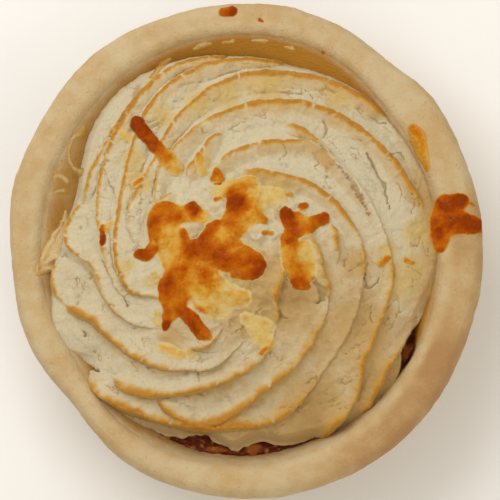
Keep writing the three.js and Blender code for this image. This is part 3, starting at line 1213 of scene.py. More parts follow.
@dataclass(frozen=True)
class CrestCracks:
    """The cracks that cross a pleat's crest: a gap in the crest, and a hairline that runs on from it."""

    spacing: tuple[float, float] = (6.0, 34.0)
    # The length that each is counted for, below the mean spacing so that they reach the crest's end
    length_each: float = 12.0
    width: tuple[float, float] = (0.1, 0.55)
    reach: tuple[float, float] = (1.0, 4.0)
    # Inwards, or outwards, which is twice as likely
    ways: tuple[float, ...] = (-1.0, 1.0, 1.0)
    gap_reach: float = 1.1
    hairline_width: float = 0.17
    hairline_end: Rise = (0.3, 1.0)

    def scattered(self, length: float, seed: int) -> Array:
        """Scatters the cracks along a crest.

        Args:
            length: the crest's length.
            seed: picks their places.

        Returns:
            The place along the crest, the width and the reach of each, one a row. A reach below 0 is inwards.
        """
        draw = np.random.default_rng(seed)
        places = np.cumsum(draw.uniform(*self.spacing, size=1 + int(length / self.length_each)))
        count = len(places)
        reach = draw.uniform(*self.reach, count) * draw.choice(self.ways, count)
        return np.column_stack([places, draw.uniform(*self.width, count), reach])

    def at(self, along: Array, past: Array, cracks: Array) -> Pair:
        """Works out where the cracks of a crest lie.

        Args:
            along: how far along the crest each place is.
            past: how far beyond the crest it is.
            cracks: the cracks.

        Returns:
            How much each place is in a gap of the crest, and how much in a hairline.
        """
        gap, hairline = np.zeros_like(past), np.zeros_like(past)
        for place, width, reach in cracks:
            gap = np.maximum(gap, np.exp(-(((along - place) / width) ** 2) - (past / self.gap_reach) ** 2))
            share = past / reach
            line = np.exp(-(((along - place) / self.hairline_width) ** 2)) * (share > 0)
            hairline = np.maximum(hairline, line * (1 - ease(share, *self.hairline_end)))
        return gap, hairline


@dataclass(frozen=True)
class MealyRelief:
    """The small ups and downs of baked mash, torn in the middle, and the fine cracks along its piping."""

    lumps: tuple[Noise, ...] = (
        Noise(9.0, 61, strength=0.2), Noise(2.6, 62, strength=0.1), Noise(0.9, 63, strength=0.05),
    )
    streaks: Noise = Noise(1.0, 67, 2, 0.16)
    streaked_from: Rise = (12.0, 22.0)
    crumbs: Noise = Noise(0.9, 64)
    crumb_height: float = 0.25
    tears: tuple[Patches, ...] = (
        Patches(Noise(6.5, 65, 2), -0.08, 0.14, 0.55), Patches(Noise(3.0, 66, 2), -0.07, 0.12, 0.25),
    )
    shards: Noise = Noise(5.5, 68, 2)
    shard_sharpness: float = 3.0
    shard_height: float = 0.7
    flakes: tuple[Patches, ...] = (
        Patches(Noise(4.4, 69, 2), 0.02, 0.12, 0.2), Patches(Noise(2.2, 70, 2), 0.05, 0.14, 0.12),
    )
    torn_within: Rise = (15.0, 26.0)
    torn_depth: float = 0.7
    cracks: Noise = Noise(1.3, 73, 2)
    crack_stray: Noise = Noise(1.2, 76, strength=0.12)
    crack_patches: Patches = Patches(Noise(7.0, 74), 0.02, 0.25)
    cracked_from: Rise = (18.0, 26.0)
    crack_edge: Rise = (0.0, 0.06)
    # How closely what runs along the piping is set across it and round it
    across: float = 2.4
    around: float = 4.0

    def along_piping(self, flat: Array) -> Array:
        """Stretches places along the piping, so that what is laid out by them runs with it.

        Args:
            flat: places on the swirl, level.

        Returns:
            The stretched places, one a row.
        """
        reach = np.hypot(flat[:, 0], flat[:, 1])
        turned = np.arctan2(flat[:, 1], flat[:, 0])
        ring = [self.around * np.cos(turned), self.around * np.sin(turned)]
        return np.column_stack([reach / self.across, *ring])

    def heights(self, flat: Array, radius: Array, crest: Array) -> Array:
        """Works out the ups and downs.

        Args:
            flat: places on the swirl, level.
            radius: their distances from its middle.
            crest: how much of a crest lies at each.

        Returns:
            How much higher each place is.
        """
        lumps = uneven(flat, self.lumps)
        lumps += self.streaks.at(self.along_piping(flat)) * ease(radius, *self.streaked_from)
        ragged = self.crumb_height * crest * self.crumbs.at(flat)
        edges = 1 - self.shard_sharpness * np.abs(self.shards.at(flat))
        torn = uneven(flat, self.tears) + self.shard_height * ease(edges, 0.0, 1.0) - self.torn_depth
        return lumps + ragged + uneven(flat, self.flakes) + (1 - ease(radius, *self.torn_within)) * torn

    def cracked(self, flat: Array, radius: Array) -> Array:
        """Works out the fine cracks.

        Args:
            flat: places on the swirl, level.
            radius: their distances from its middle.

        Returns:
            How far into a crack each place lies, from 0 to 1.
        """
        wandering = self.cracks.at(self.along_piping(flat)) + self.crack_stray.at(flat)
        patches = self.crack_patches.at(flat) * ease(radius, *self.cracked_from)
        return (1 - ease(np.abs(wandering), *self.crack_edge)) * patches


@dataclass(frozen=True)
class Browning:
    """The browning of the crests: patchy, wider on their inner sides and where the oven reached most."""

    scorched: Spots = spots(
        (-25.8, -36, 5.5), (-5, -43.5, 8.0), (-38, -31, 4.5), (-39, -14, 5.0), (6, 45, 8.0), (28, 34, 7.0),
        (-28, 34, 7.0),
    )
    # How brown a crest gets, less where it leans, more where it is scorched
    level: float = 1.2
    level_leaning: float = 0.15
    level_scorched: float = 0.35
    most: float = 1.3
    patches: Noise = Noise(6.0, 56, 2, 0.9)
    mottling: Noise = Noise(1.4, 59, 2)
    mottling_leaning: float = 0.5
    # How wide the browning is inside a crest, and outside it
    inner_width: float = 0.58
    inner_scorched: float = 0.1
    inner_scorched_leaning: float = 0.55
    inner_bumps: Bumps = bumps((60, 40, 0.3), (24, 16, 0.15), (295, 28, 0.35))
    outer_width: float = 0.4
    raggedness: Noise = Noise(3.4, 58, 2, 0.5)
    ragged_between: tuple[float, float] = (0.5, 1.6)
    hardness: float = 2.4
    halo: float = 0.24
    halo_width: float = 1.8

    def at(self, relief: Relief, flat: Array, place: Pair, leaning: Array) -> Array:
        """Works out how brown places are.

        Args:
            relief: the pleats.
            flat: places on the swirl, level, from its middle.
            place: the same places from the pie's axis.
            leaning: how far the pleats lean over, because the oven reaches more of a pleat that leans.

        Returns:
            How brown each place is.
        """
        past, scorch = relief.past_crest, spotted(place, self.scorched)
        patchy = self.level - self.level_leaning * leaning + self.patches.at(flat)
        patchy += self.level_scorched * scorch
        patchy += (1.0 - self.mottling_leaning * leaning) * self.mottling.at(flat)
        inner = self.inner_width + self.inner_scorched * scorch
        inner = inner + self.inner_scorched_leaning * scorch * leaning
        inner = inner + swollen(np.arctan2(flat[:, 1], flat[:, 0]), self.inner_bumps)
        ragged = np.clip(1 + self.raggedness.at(flat), *self.ragged_between)
        width = np.where(past < 0, inner, self.outer_width) * ragged
        line = np.exp(-(np.abs(past / width) ** (self.hardness - leaning)))
        halo = self.halo * np.exp(-np.abs(past) / self.halo_width) * (past < 0)
        return relief.brown * np.clip(patchy, 0, self.most) * np.maximum(line, halo)


@dataclass(frozen=True)
class TanAndShade:
    """Where the mash is tan: in the middle and beside the rim, and as painted shade on near faces, ledge,
    creases and below crests.
    """

    # Painted shade: faces turned towards the camera and from the lamp get tan, which is partly their own
    # golden colour
    face_turn: float = 0.2
    face_softness: float = 0.7
    face_edge: Rise = (0.05, 0.8)
    face_level: float = 0.75
    face_near: float = 0.25
    # On the far side only the foot of a face gets that painted shade
    foot_share: float = 0.8
    foot: Rise = (1.8, 5.0)
    far_side: Rise = (-0.2, 0.3)
    face_share: float = 1.2
    # Painted shade in the creases
    crease_share: float = 0.5
    middle_share: float = 0.45
    middle: Rise = (12.0, 26.0)
    beside_rim: Bump = Bump(10, 32, 0.9)
    rim_reach: Rise = (41.0, 48.5)
    # Painted shade on the ledge at the near edge
    ledge_shade: Bump = Bump(274, 34, 0.3)
    ledge_shade_reach: Rise = (45.0, 47.5)
    # Painted shade towards the lower right; the bumps below 0 take tan away, painted light, towards the upper
    # right and far side
    shade_and_light: Bumps = bumps((-48, 52, 0.5), (25, 40, -0.3), (110, 35, -0.2), (140, 20, -0.2))
    # Painted shade in spots that lie in shadow
    shade_spots: Spots = spots(
        (16, -41, 6.5), (17, -39, 5.0), (28, -20, 6.0), (27, -4, 4.0), (-18, -22, 4.0), (34, -35, 6.0),
        (13.5, -12.5, 3.5),
    )
    spot_share: float = 0.8
    # Painted shadow below the crests, laid on as tan
    crest_shadow_share: float = 0.5
    between: tuple[float, float] = (-0.5, 1.5)

    def at(
        self, relief: Relief, angle: Array, flat: Array, place: Pair, crease: Array, leaning: Array
    ) -> Array:
        """Works out how tan places are, painted shade included.

        Args:
            relief: the pleats.
            angle: directions from the swirl's middle.
            flat: places on the swirl, level, from its middle.
            place: the same places from the pie's axis.
            crease: where two pleats meet.
            leaning: how far the pleats lean over.

        Returns:
            How tan each place is.
        """
        past, reach = relief.past_crest, np.hypot(flat[:, 0], flat[:, 1])
        facing = -np.sin(angle + self.face_turn) * np.tanh(past / self.face_softness)
        near_face = ease(facing, *self.face_edge) * (self.face_level - self.face_near * np.sin(angle))
        far_foot = self.foot_share * ease(np.abs(past), *self.foot) * ease(np.sin(angle), *self.far_side)
        near_face = near_face * (1 - far_foot)
        middle = 1 - ease(reach, *self.middle)
        beside_rim = self.beside_rim.swell(angle) * ease(reach, *self.rim_reach)
        shade_and_light = swollen(angle, self.shade_and_light) + self.spot_share * spotted(place, self.shade_spots)
        tan = self.face_share * near_face * relief.fullness + self.crease_share * crease
        tan = tan + self.middle_share * middle + beside_rim + shade_and_light
        tan = tan + self.ledge_shade.swell(angle) * ease(reach, *self.ledge_shade_reach)
        tan += self.crest_shadow_share * relief.crest_shadow * leaning
        return np.clip(tan, *self.between)


@dataclass(frozen=True)
class MashSwirl:
    """The dome of mashed potato, piped in overlapping pleats."""

    centre: tuple[float, float] = (-1.5, -0.5)
    lean: tuple[float, float] = (1.1, -2.4)
    radius: float = 47.5
    edge_radius: float = 49.3
    apron_radius: float = 47.0
    apron_slope: float = 2.4
    underside: float = 23.0
    least_thickness: float = 0.6
    edge_height: float = 27.5
    top_height: float = 41.5
    fullness: float = 1.6
    edge_bumps: Bumps = bumps(
        (14, 24, 2.4), (40, 12, 1.0), (58, 14, 1.1), (104, 12, 0.8), (125, 15, 2.3), (163, 18, -5.4),
        (204, 9, 2.6), (216, 4, -3.4), (229, 9, 1.6), (266, 17, -2.0), (299, 10, 2.2), (331, 6, -2.8),
        (316, 8, 2.0), (342, 7, -1.0), (258, 4, -1.2), (268, 4.5, 2.3), (275.5, 4, -0.8), (284, 4.5, 0.8),
    )
    edge_noise: Noise = Noise(3.4, 57, 2)
    edge_ragged: float = 0.3
    # Where it lies flush with the rim, and how nearly
    flush: Bumps = bumps((9, 21, 0.8), (118, 30, 0.75), (222, 22, 0.8), (-36, 22, 0.85))
    # The bottom edge hangs in waves over the mince
    waves: Bump = Bump(266, 30, 1.3)
    pleats: tuple[tuple[CrestPoint, ...], ...] = (
        # From the lower left, over the near side and up the right
        ((218, 50.8, 0.95, 3.0), (232, 48.7, 1.0, 3.0), (246, 46.4, 1.0, 3.0), (264, 44.6, 1.0, 2.8),
         (284, 43.3, 0.85, 2.4), (297, 39, 0.4, 1.0), (312, 35.2, 0.05, 0.5), (340, 31.8, 0.1, 0.5),
         (357, 30.6, 0.55, 0.9), (378, 27.9, 0.85, 1.4), (394, 25.7, 0.85, 1.8), (417, 22, 0.8, 1.8),
         (440, 20.3, 0.5, 1.4), (452, 19.6, 0.1, 0.8)),
        ((242, 43, 0.9, 3.0), (260, 44.3, 1.0, 3.0), (280, 35.8, 0.85, 2.2), (300, 31, 0.75, 1.4),
         (316, 27.8, 0.5, 0.9), (330, 25.2, 0.1, 0.5), (350, 21, 0.0, 0.4)),
        ((226, 44.5, 0.9, 3.0), (235, 43.8, 0.95, 3.0), (250, 37.5, 0.9, 2.8), (270, 31, 0.75, 1.8),
         (284, 26.8, 0.45, 1.0), (298, 21, 0.1, 0.5)),
        ((197, 45, 0.95, 2.8), (203, 41.8, 1.0, 2.8), (208, 39.3, 0.85, 2.8), (232, 35.5, 0.8, 2.6),
         (246, 32.2, 0.45, 2.0), (258, 29.4, 0.2, 1.4), (275, 22, 0.0, 0.6)),
        ((162, 41.5, 0.6, 2.4), (175, 43.3, 0.85, 2.6), (182, 39.6, 0.85, 2.6), (188, 35.8, 0.6, 2.4),
         (208, 33.2, 0.3, 1.8), (227, 26.5, 0.1, 1.2)),
        # Round the far side and down the left
        ((112, 49, 0.7, 2.6), (138, 43.2, 0.75, 2.6), (166, 41, 0.5, 2.2)),
        ((92, 49.5, 0.9, 2.6), (110, 49, 0.95, 2.8), (134, 43, 0.9, 2.8), (172, 35, 0.5, 2.0),
         (208, 30, 0.1, 1.0)),
        ((76, 49, 0.9, 2.6), (98, 47.8, 1.0, 2.8), (117, 44, 0.95, 2.8), (137, 36.5, 0.9, 2.8),
         (158, 31.8, 0.8, 2.6), (196, 29.2, 0.85, 2.2), (208, 24, 0.7, 1.6), (216, 22, 0.2, 1.0)),
        ((42, 50, 0.9, 2.4), (52, 49.2, 1.0, 2.8), (70, 46.6, 1.0, 3.0), (93, 43, 1.0, 3.0),
         (115, 36.3, 0.9, 2.8), (136, 30.2, 0.75, 2.6), (160, 29, 0.5, 2.2), (180, 25, 0.2, 1.4)),
        ((12, 47, 0.4, 1.0), (20, 45.8, 0.9, 1.8), (34, 44, 1.0, 2.6), (65, 40.3, 1.0, 3.0),
         (90, 35.8, 0.95, 2.8), (115, 31.4, 0.6, 2.4), (140, 26.8, 0.5, 2.0), (158, 21, 0.2, 1.2)),
        # The near right
        ((306, 51.5, 0.9, 2.2), (313, 49.4, 0.9, 2.0), (320, 47.6, 0.85, 1.7), (328, 47.2, 0.5, 1.2),
         (338, 47.6, 0.0, 0.6)),
        ((293, 51, 0.5, 2.6), (303, 49, 0.85, 2.4), (311, 45.6, 0.9, 2.0), (318, 41.8, 0.85, 1.7),
         (330, 39.4, 0.75, 1.4), (343, 38.9, 0.7, 1.0), (352, 38.2, 0.6, 0.8), (366, 36, 0.1, 0.8),
         (380, 34.5, 0.05, 1.4), (400, 32.6, 0.1, 1.8), (412, 33.6, 0.5, 2.0), (426, 34.2, 0.7, 1.8),
         (434, 33.4, 0.2, 0.8)),
        # Folds and flaps near the middle
        ((38, 32.6, 0.1, 1.8), (54, 32.8, 0.3, 2.0), (64, 30.2, 0.75, 2.0), (82, 26.7, 0.8, 2.0),
         (96, 24, 0.7, 1.8), (115, 19, 0.2, 1.0)),
        ((97, 30, 0.4, 1.4), (104, 28.8, 0.75, 2.0), (114, 25.2, 0.8, 2.0), (122, 23.9, 0.5, 1.6),
         (131, 19, 0.1, 0.8)),
        ((352, 24.6, 0.2, 1.0), (363, 24.2, 0.8, 1.6), (370, 24.5, 0.8, 1.6), (380, 23.6, 0.2, 1.0)),
        ((330, 25, 0.3, 1.2), (338, 23.8, 0.8, 2.0), (345, 21.4, 0.85, 2.0), (362, 19.2, 0.7, 1.6),
         (380, 17.4, 0.2, 0.8)),
        ((296, 20.5, 0.3, 1.0), (303, 18, 0.85, 2.0), (308, 15, 0.9, 2.2), (330, 12.4, 0.6, 1.8),
         (352, 10.7, 0.3, 1.2)),
        ((138, 22, 0.4, 1.2), (152, 23.5, 0.6, 1.6), (166, 21.5, 0.5, 1.6), (185, 17, 0.1, 0.8)),
        ((245, 26.8, 0.5, 1.4), (252, 25.4, 0.8, 1.8), (257, 21.5, 0.7, 1.6), (263, 15, 0.2, 0.8)),
        ((183, 46, 0.6, 2.2), (192, 46.8, 0.9, 2.4), (200, 44, 0.6, 2.0)),
    )
    # The pleats lean over on one side, where they stand lower, and stand as even ridges elsewhere
    leaning_side: float = 285.0
    leaning_within: Rise = (-0.35, 0.3)
    leaning_loss: float = 0.22
    outer_slopes: tuple[float, float] = (0.75, 1.6)
    inner_slopes: tuple[float, float] = (0.52, 0.48)
    standing: Noise = Noise(15.0, 53, strength=0.2)
    wandering: tuple[Noise, ...] = (Noise(4.5, 51, strength=0.36), Noise(1.3, 52, 2, 0.32))
    # Over how many degrees a pleat grows at its start and fades at its end, and how soon it is brown
    pleat_start: Rise = (-2.0, 4.0)
    pleat_end: Rise = (-12.0, 0.0)
    start_browning: float = 1.6
    # Each crest ends in a thin lip: how far it drops, and over what width
    lip_drop: float = 0.45
    lip_width: float = 0.55
    crest_round: float = 0.3
    crest_inset: float = 0.4
    crest_width: float = 0.9
    crest_steps: int = 24
    overhangs: tuple[float, float] = (0.35, 0.55)
    # Below a crest that stands this high, places get painted shadow this far out
    crest_shadow_height: float = 2.5
    crest_shadow_reach: Rise = (0.6, 4.2)
    crest_cracks: CrestCracks = CrestCracks()
    crack_stray: float = 1.2
    gap_depth: float = 0.2
    # Two pleats meet in a crease where they are nearly level and stand up, and it is torn in patches
    crease_gap: Rise = (0.0, 0.4)
    crease_height: Rise = (0.2, 0.8)
    crease_tears: Patches = Patches(Noise(6.0, 75), -0.1, 0.35)
    hairline_share: float = 0.7
    piping_crack_share: float = 0.8
    crack_depth: float = 0.5
    mealy: MealyRelief = MealyRelief()
    browning: Browning = Browning()
    tan_and_shading: TanAndShade = TanAndShade()
    fat_spots: Spots = spots(
        (6, 40, 6.0), (-4, 38, 4.5), (23, 37, 4.0), (38, -9, 4.5), (7, 13, 4.5), (-27.5, 22.5, 3.6),
        (-11, 36.5, 4.5), (-20, 33, 3.5), (-10, 21.5, 2.4), (-29, -4, 2.2), (35, -1, 3.0), (42.5, 3, 4.0),
        (-23, -8, 2.0), (-4, -11, 4.0), (-26, 17, 4.0), (41, -6, 4.5),
    )
    splits: tuple[Fissure, ...] = fissures(
        # The far right
        (0.9, (30.3, 23.4, 0.3), (31.4, 21.2, 0.55), (32.5, 19, 0.5), (33.6, 16.8, 0.4), (34.7, 15.4, 0.65),
         (35, 12.5, 0.45), (36.1, 9.2, 0.3)),
        (0.9, (22.4, 20.4, 0.3), (25.6, 17.2, 0.8), (28.4, 12.4, 0.8), (30.8, 8, 0.3)),
        (0.5, (36.5, 22.6, 0.3), (38.6, 23.3, 0.4), (39.6, 21.6, 0.3)),
        (0.5, (31.6, 32.4, 0.3), (33.4, 31, 0.4), (35.4, 30.9, 0.3)),
        (0.4, (37.6, 15.8, 0.25), (39, 13.6, 0.35), (38.6, 11.2, 0.25)),
        (0.4, (41.4, 12.8, 0.25), (42, 10.2, 0.3), (41.2, 8.2, 0.25)),
        (0.4, (16.9, 23.4, 0.25), (18.3, 21.2, 0.3), (17.6, 19.7, 0.28), (20.5, 17.5, 0.25)),
        (0.4, (9.6, 25.5, 0.25), (10.3, 23.4, 0.28), (8.9, 21.9, 0.25)),
        (0.6, (19.8, 31.3, 0.3), (20.5, 29.2, 0.45), (19.4, 27.4, 0.3)),
        (0.4, (16.5, 38.3, 0.25), (17.2, 36.8, 0.28)),
        # The right
        (0.6, (29.8, -6.5, 0.25), (29.8, -9.6, 0.45), (31.5, -10, 0.5), (33.1, -8.1, 0.3)),
        (0.5, (31.3, -14.5, 0.25), (30.9, -17.2, 0.35), (31.5, -19, 0.25)),
        (0.4, (25, -27, 0.25), (27.7, -24.5, 0.3), (28.4, -26.3, 0.25)),
        (0.4, (40, -4.9, 0.25), (42, -6, 0.3), (43.7, -7.4, 0.3), (41.5, -9.3, 0.25)),
        (0.6, (15.3, -33.9, 0.3), (17.5, -32.1, 0.45), (17.1, -34.7, 0.3)),
        # The near side and the left
        (0.4, (-11.6, -29.6, 0.25), (-11.4, -31.3, 0.3), (-11.2, -33.2, 0.25)),
        (0.4, (-34.5, 19.8, 0.25), (-33.4, 16.8, 0.3), (-32.3, 14.6, 0.35), (-31.9, 11.8, 0.25)),
        (0.9, (-29.5, -12, 0.5), (-28.8, -14.3, 0.4)),
        (0.9, (-39.7, -20.4, 0.4), (-39.4, -21.4, 0.5)),
        # Torn hollows round the cheese
        (1.0, (17.2, -8.2, 0.6), (18.6, -10.2, 1.2), (19, -12.4, 0.9), (18, -14, 0.4)),
        (0.45, (8, -15.6, 0.4), (9.4, -17.2, 0.8), (10.6, -17.6, 0.4)),
        (0.4, (-3.3, -21.5, 0.3), (-0.4, -19.6, 0.5), (2.6, -16.9, 0.5), (4.2, -14.9, 0.3)),
        (0.5, (-5.4, -8.4, 0.4), (-3.8, -9.4, 0.7), (-2.6, -10.4, 0.4)),
        # The hollow where two lobes part beside the rim
        (2.2, (-44.5, -28.8, 1.5), (-41.5, -29.2, 1.3), (-39, -28.9, 0.9), (-36, -30.2, 0.3)),
    )
    fissure_stray: tuple[Noise, ...] = (Noise(1.3, 71, strength=0.4), Noise(1.3, 72, strength=0.4))
    rings: int = 176
    seed: int = 40

    def height_share(self, radius: Array) -> Array:
        """Returns how far up the mound a distance from its middle lies, from 0 at the edge to 1."""
        return 1 - np.minimum(1, radius / self.radius) ** self.fullness

    def dome_height(self, angle: Array, radius: Array) -> Array:
        """Finds the mound's height, its apron included.

        Args:
            angle: directions from its middle.
            radius: distances from it.

        Returns:
            The height at each.
        """
        dome = self.edge_height + (self.top_height - self.edge_height) * self.height_share(radius)
        slope = self.apron_slope * (1 - swollen(angle, self.flush))
        return dome - slope * np.maximum(0, radius - self.apron_radius)

    def leaned(self, x: Array, y: Array) -> Pair:
        """Returns where the swirl's lean carries places to."""
        share = self.height_share(np.hypot(x - self.centre[0], y - self.centre[1]))
        return x + share * self.lean[0], y + share * self.lean[1]

    def leaning(self, angle: Array) -> Array:
        """Returns how far the pleats lean over in each direction, from 0 to 1."""
        return ease(np.cos(angle - math.radians(self.leaning_side)), *self.leaning_within)

    def relief(self, angle: Array, radius: Array, flat: Array) -> Relief:
        """Lays the pleats over each other.

        Args:
            angle: directions from the swirl's middle, from 0 to a full turn.
            radius: distances from it.
            flat: the same places as points.

        Returns:
            The relief.
        """
        laid = Relief.level(len(radius))
        leaning = self.leaning(angle)
        slopes = [low + (high - low) * leaning for low, high in (self.outer_slopes, self.inner_slopes)]
        wander = uneven(flat, self.wandering)
        standing = 1 - self.leaning_loss * leaning + self.standing.at(flat)
        for number, crest in enumerate(self.pleats):
            route = smooth_path(crest, self.crest_steps)
            steps = np.hypot(np.diff(np.radians(route[:, 0])) * route[1:, 1], np.diff(route[:, 1]))
            lengths = np.concatenate([[0.0], np.cumsum(steps)])
            cracks = self.crest_cracks.scattered(lengths[-1], self.seed + number)
            for turn in (0.0, FULL_TURN):
                degrees = np.degrees(angle) + turn
                along = np.interp(degrees, route[:, 0], lengths)
                ends = ease(degrees, *(route[0, 0] + by for by in self.pleat_start))
                ends = ends * (1 - ease(degrees, *(route[-1, 0] + by for by in self.pleat_end)))
                reach, browned, high = (np.interp(degrees, route[:, 0], column) for column in route.T[1:])
                past = radius - reach + self.crest_inset + wander
                rounded = np.hypot(past, self.crest_round) - self.crest_round
                fall = np.where(past > 0, *slopes) * rounded
                fall += self.lip_drop * ease(past, 0.0, self.lip_width)
                rise = high * ends * standing
                # How far a place lies in a crest's shadow, which is painted on as tan
                crest_shadowed = ends * np.minimum(1, high / self.crest_shadow_height) * (past > 0)
                crest_shadowed = crest_shadowed * (1 - ease(past, *self.crest_shadow_reach))
                laid.crest_shadow = np.maximum(laid.crest_shadow, crest_shadowed)
                near = np.flatnonzero(rise > fall)
                strayed = along[near] + self.crack_stray * wander[near]
                gap, hairline = self.crest_cracks.at(strayed, past[near], cracks)
                height = (rise - fall)[near] - self.gap_depth * gap
                brown = browned[near] * np.minimum(1.0, self.start_browning * ends[near]) * (1 - gap)
                laid.lay(near, height, past[near], brown, ends[near], hairline)
        return laid

    def edge(self, angle: Array) -> Array:
        """Finds how far out the mash reaches.

        Args:
            angle: directions from its middle.

        Returns:
            The distance in each direction.
        """
        ring = polar(angle, np.full_like(angle, self.edge_radius), np.zeros_like(angle))
        ragged = self.edge_ragged + self.waves.swell(angle)
        return self.edge_radius + swollen(angle, self.edge_bumps) + ragged * self.edge_noise.at(ring)

    def build(self, material: Material) -> Piece:
        """Builds the swirl.

        Args:
            material: its finish.

        Returns:
            The piece.
        """
        angle, share = disc_places(self.rings)
        radius = share * self.edge(angle)
        flat = polar(angle, radius, np.zeros_like(radius))
        place = (flat[:, 0] + self.centre[0], flat[:, 1] + self.centre[1])
        leaning = self.leaning(angle)
        relief = self.relief(angle, radius, flat)
        # The mound is pushed in where the bumps are, and its apron with it
        pushed = radius - swollen(angle, self.edge_bumps) * ease(radius, self.radius / 2, self.radius)
        crest = np.exp(-((relief.past_crest / self.crest_width) ** 2)) * relief.fullness
        crease = 1 - ease(relief.height - relief.next_height, *self.crease_gap)
        crease = crease * ease(relief.next_height, *self.crease_height)
        split, deep = self._split(flat)
        crack = np.maximum(self.hairline_share * relief.hairline, crease * self.crease_tears.at(flat))
        crack = np.maximum(crack, self.piping_crack_share * self.mealy.cracked(flat, radius))
        height = self.dome_height(angle, pushed) + relief.height + self.mealy.heights(flat, radius, crest)
        height -= self.crack_depth * crack + deep
        height = np.maximum(height, self.underside + self.least_thickness)
        out = radius + (self.overhangs[0] + self.overhangs[1] * leaning) * crest
        x, y = self.leaned(self.centre[0] + out * np.cos(angle), self.centre[1] + out * np.sin(angle))
        top = np.stack([x, y, height], axis=-1)
        skirt = top[-SECTORS * self.rings:].copy()
        skirt[:, 2] = self.underside
        points = np.vstack([top, skirt, skirt.mean(axis=0)])
        values = {
            "brown": self.browning.at(relief, flat, place, leaning),
            "fat": spotted(place, self.fat_spots),
            "crack": np.maximum(crack, split),
            "tan": self.tan_and_shading.at(relief, angle, flat, place, crease, leaning),
        }
        held = {key: np.pad(column, (0, len(skirt) + 1)) for key, column in values.items()}
        return new_piece("mash_piping", points, disc_faces(self.rings), held, material)

    def _split(self, flat: Array) -> Pair:
        """Lets the baked surface split.

        Args:
            flat: places on the swirl, level.

        Returns:
            How far into a crack each place lies, and how deep the crack is there.
        """
        stray = [noise.at(flat) for noise in self.fissure_stray]
        x, y = (flat[:, axis] + self.centre[axis] + stray[axis] for axis in (0, 1))
        shares = np.array([fissure.share(x, y) for fissure in self.splits])
        depths = np.array([fissure.depth for fissure in self.splits])
        return shares.max(axis=0), (shares * depths[:, None]).max(axis=0)


# Melted cheese

# Takes places on a bed to where they are
Carrier = Callable[[Array, Array], Pair]
# What a scrap's seed goes up by for each of its noises after the first two
FINE_EDGE, MOTTLING, BROAD_LUMPS, SMALL_LUMPS = 2, 4, 5, 6


def unmoved(x: Array, y: Array) -> Pair:
    """Returns places as they are, on a bed that doesn't lean."""
    return x, y


class Bed:
    """What melted cheese lies on."""

    # Higher than anything on the pie
    ceiling: float = 100.0

    def __init__(self, pieces: Sequence[Piece], carried: Carrier) -> None:
        """Takes in the pieces of the bed, and what carries places on it to where they are."""
        self.carried = carried
        self.trees = [self._tree(piece.data) for piece in pieces]

    @staticmethod
    def _tree(mesh: bpy.types.Mesh) -> BVHTree:
        """Returns a tree of a mesh's faces, in millimetres."""
        points = [vertex.co / METRE for vertex in mesh.vertices]
        return BVHTree.FromPolygons(points, [polygon.vertices[:] for polygon in mesh.polygons])

    def heights(self, x: Array, y: Array) -> Array:
        """Finds how high the bed is at places.

        Args:
            x: across.
            y: along.

        Returns:
            The height of the topmost piece at each, or nan beyond them all.
        """
        down = Vector((0.0, 0.0, -1.0))
        found = np.zeros(len(x))
        for number, place in enumerate(zip(x, y)):
            hits = [tree.ray_cast(Vector((*place, self.ceiling)), down)[0] for tree in self.trees]
            found[number] = max((hit.z for hit in hits if hit is not None), default=np.nan)
        return found


@dataclass(frozen=True)
class Strand:
    """A strand or a film of melted cheese: where it runs and how high it stands.

    Each of its points is a place across and along, half of its width there, and how toasted it is.
    """

    points: tuple[tuple[float, float, float, float], ...]
    rise: float


def strands(*rows: tuple) -> tuple[Strand, ...]:
    """Returns a strand for each row of its rise and its points."""
    return tuple(Strand(tuple(points), rise) for rise, *points in rows)


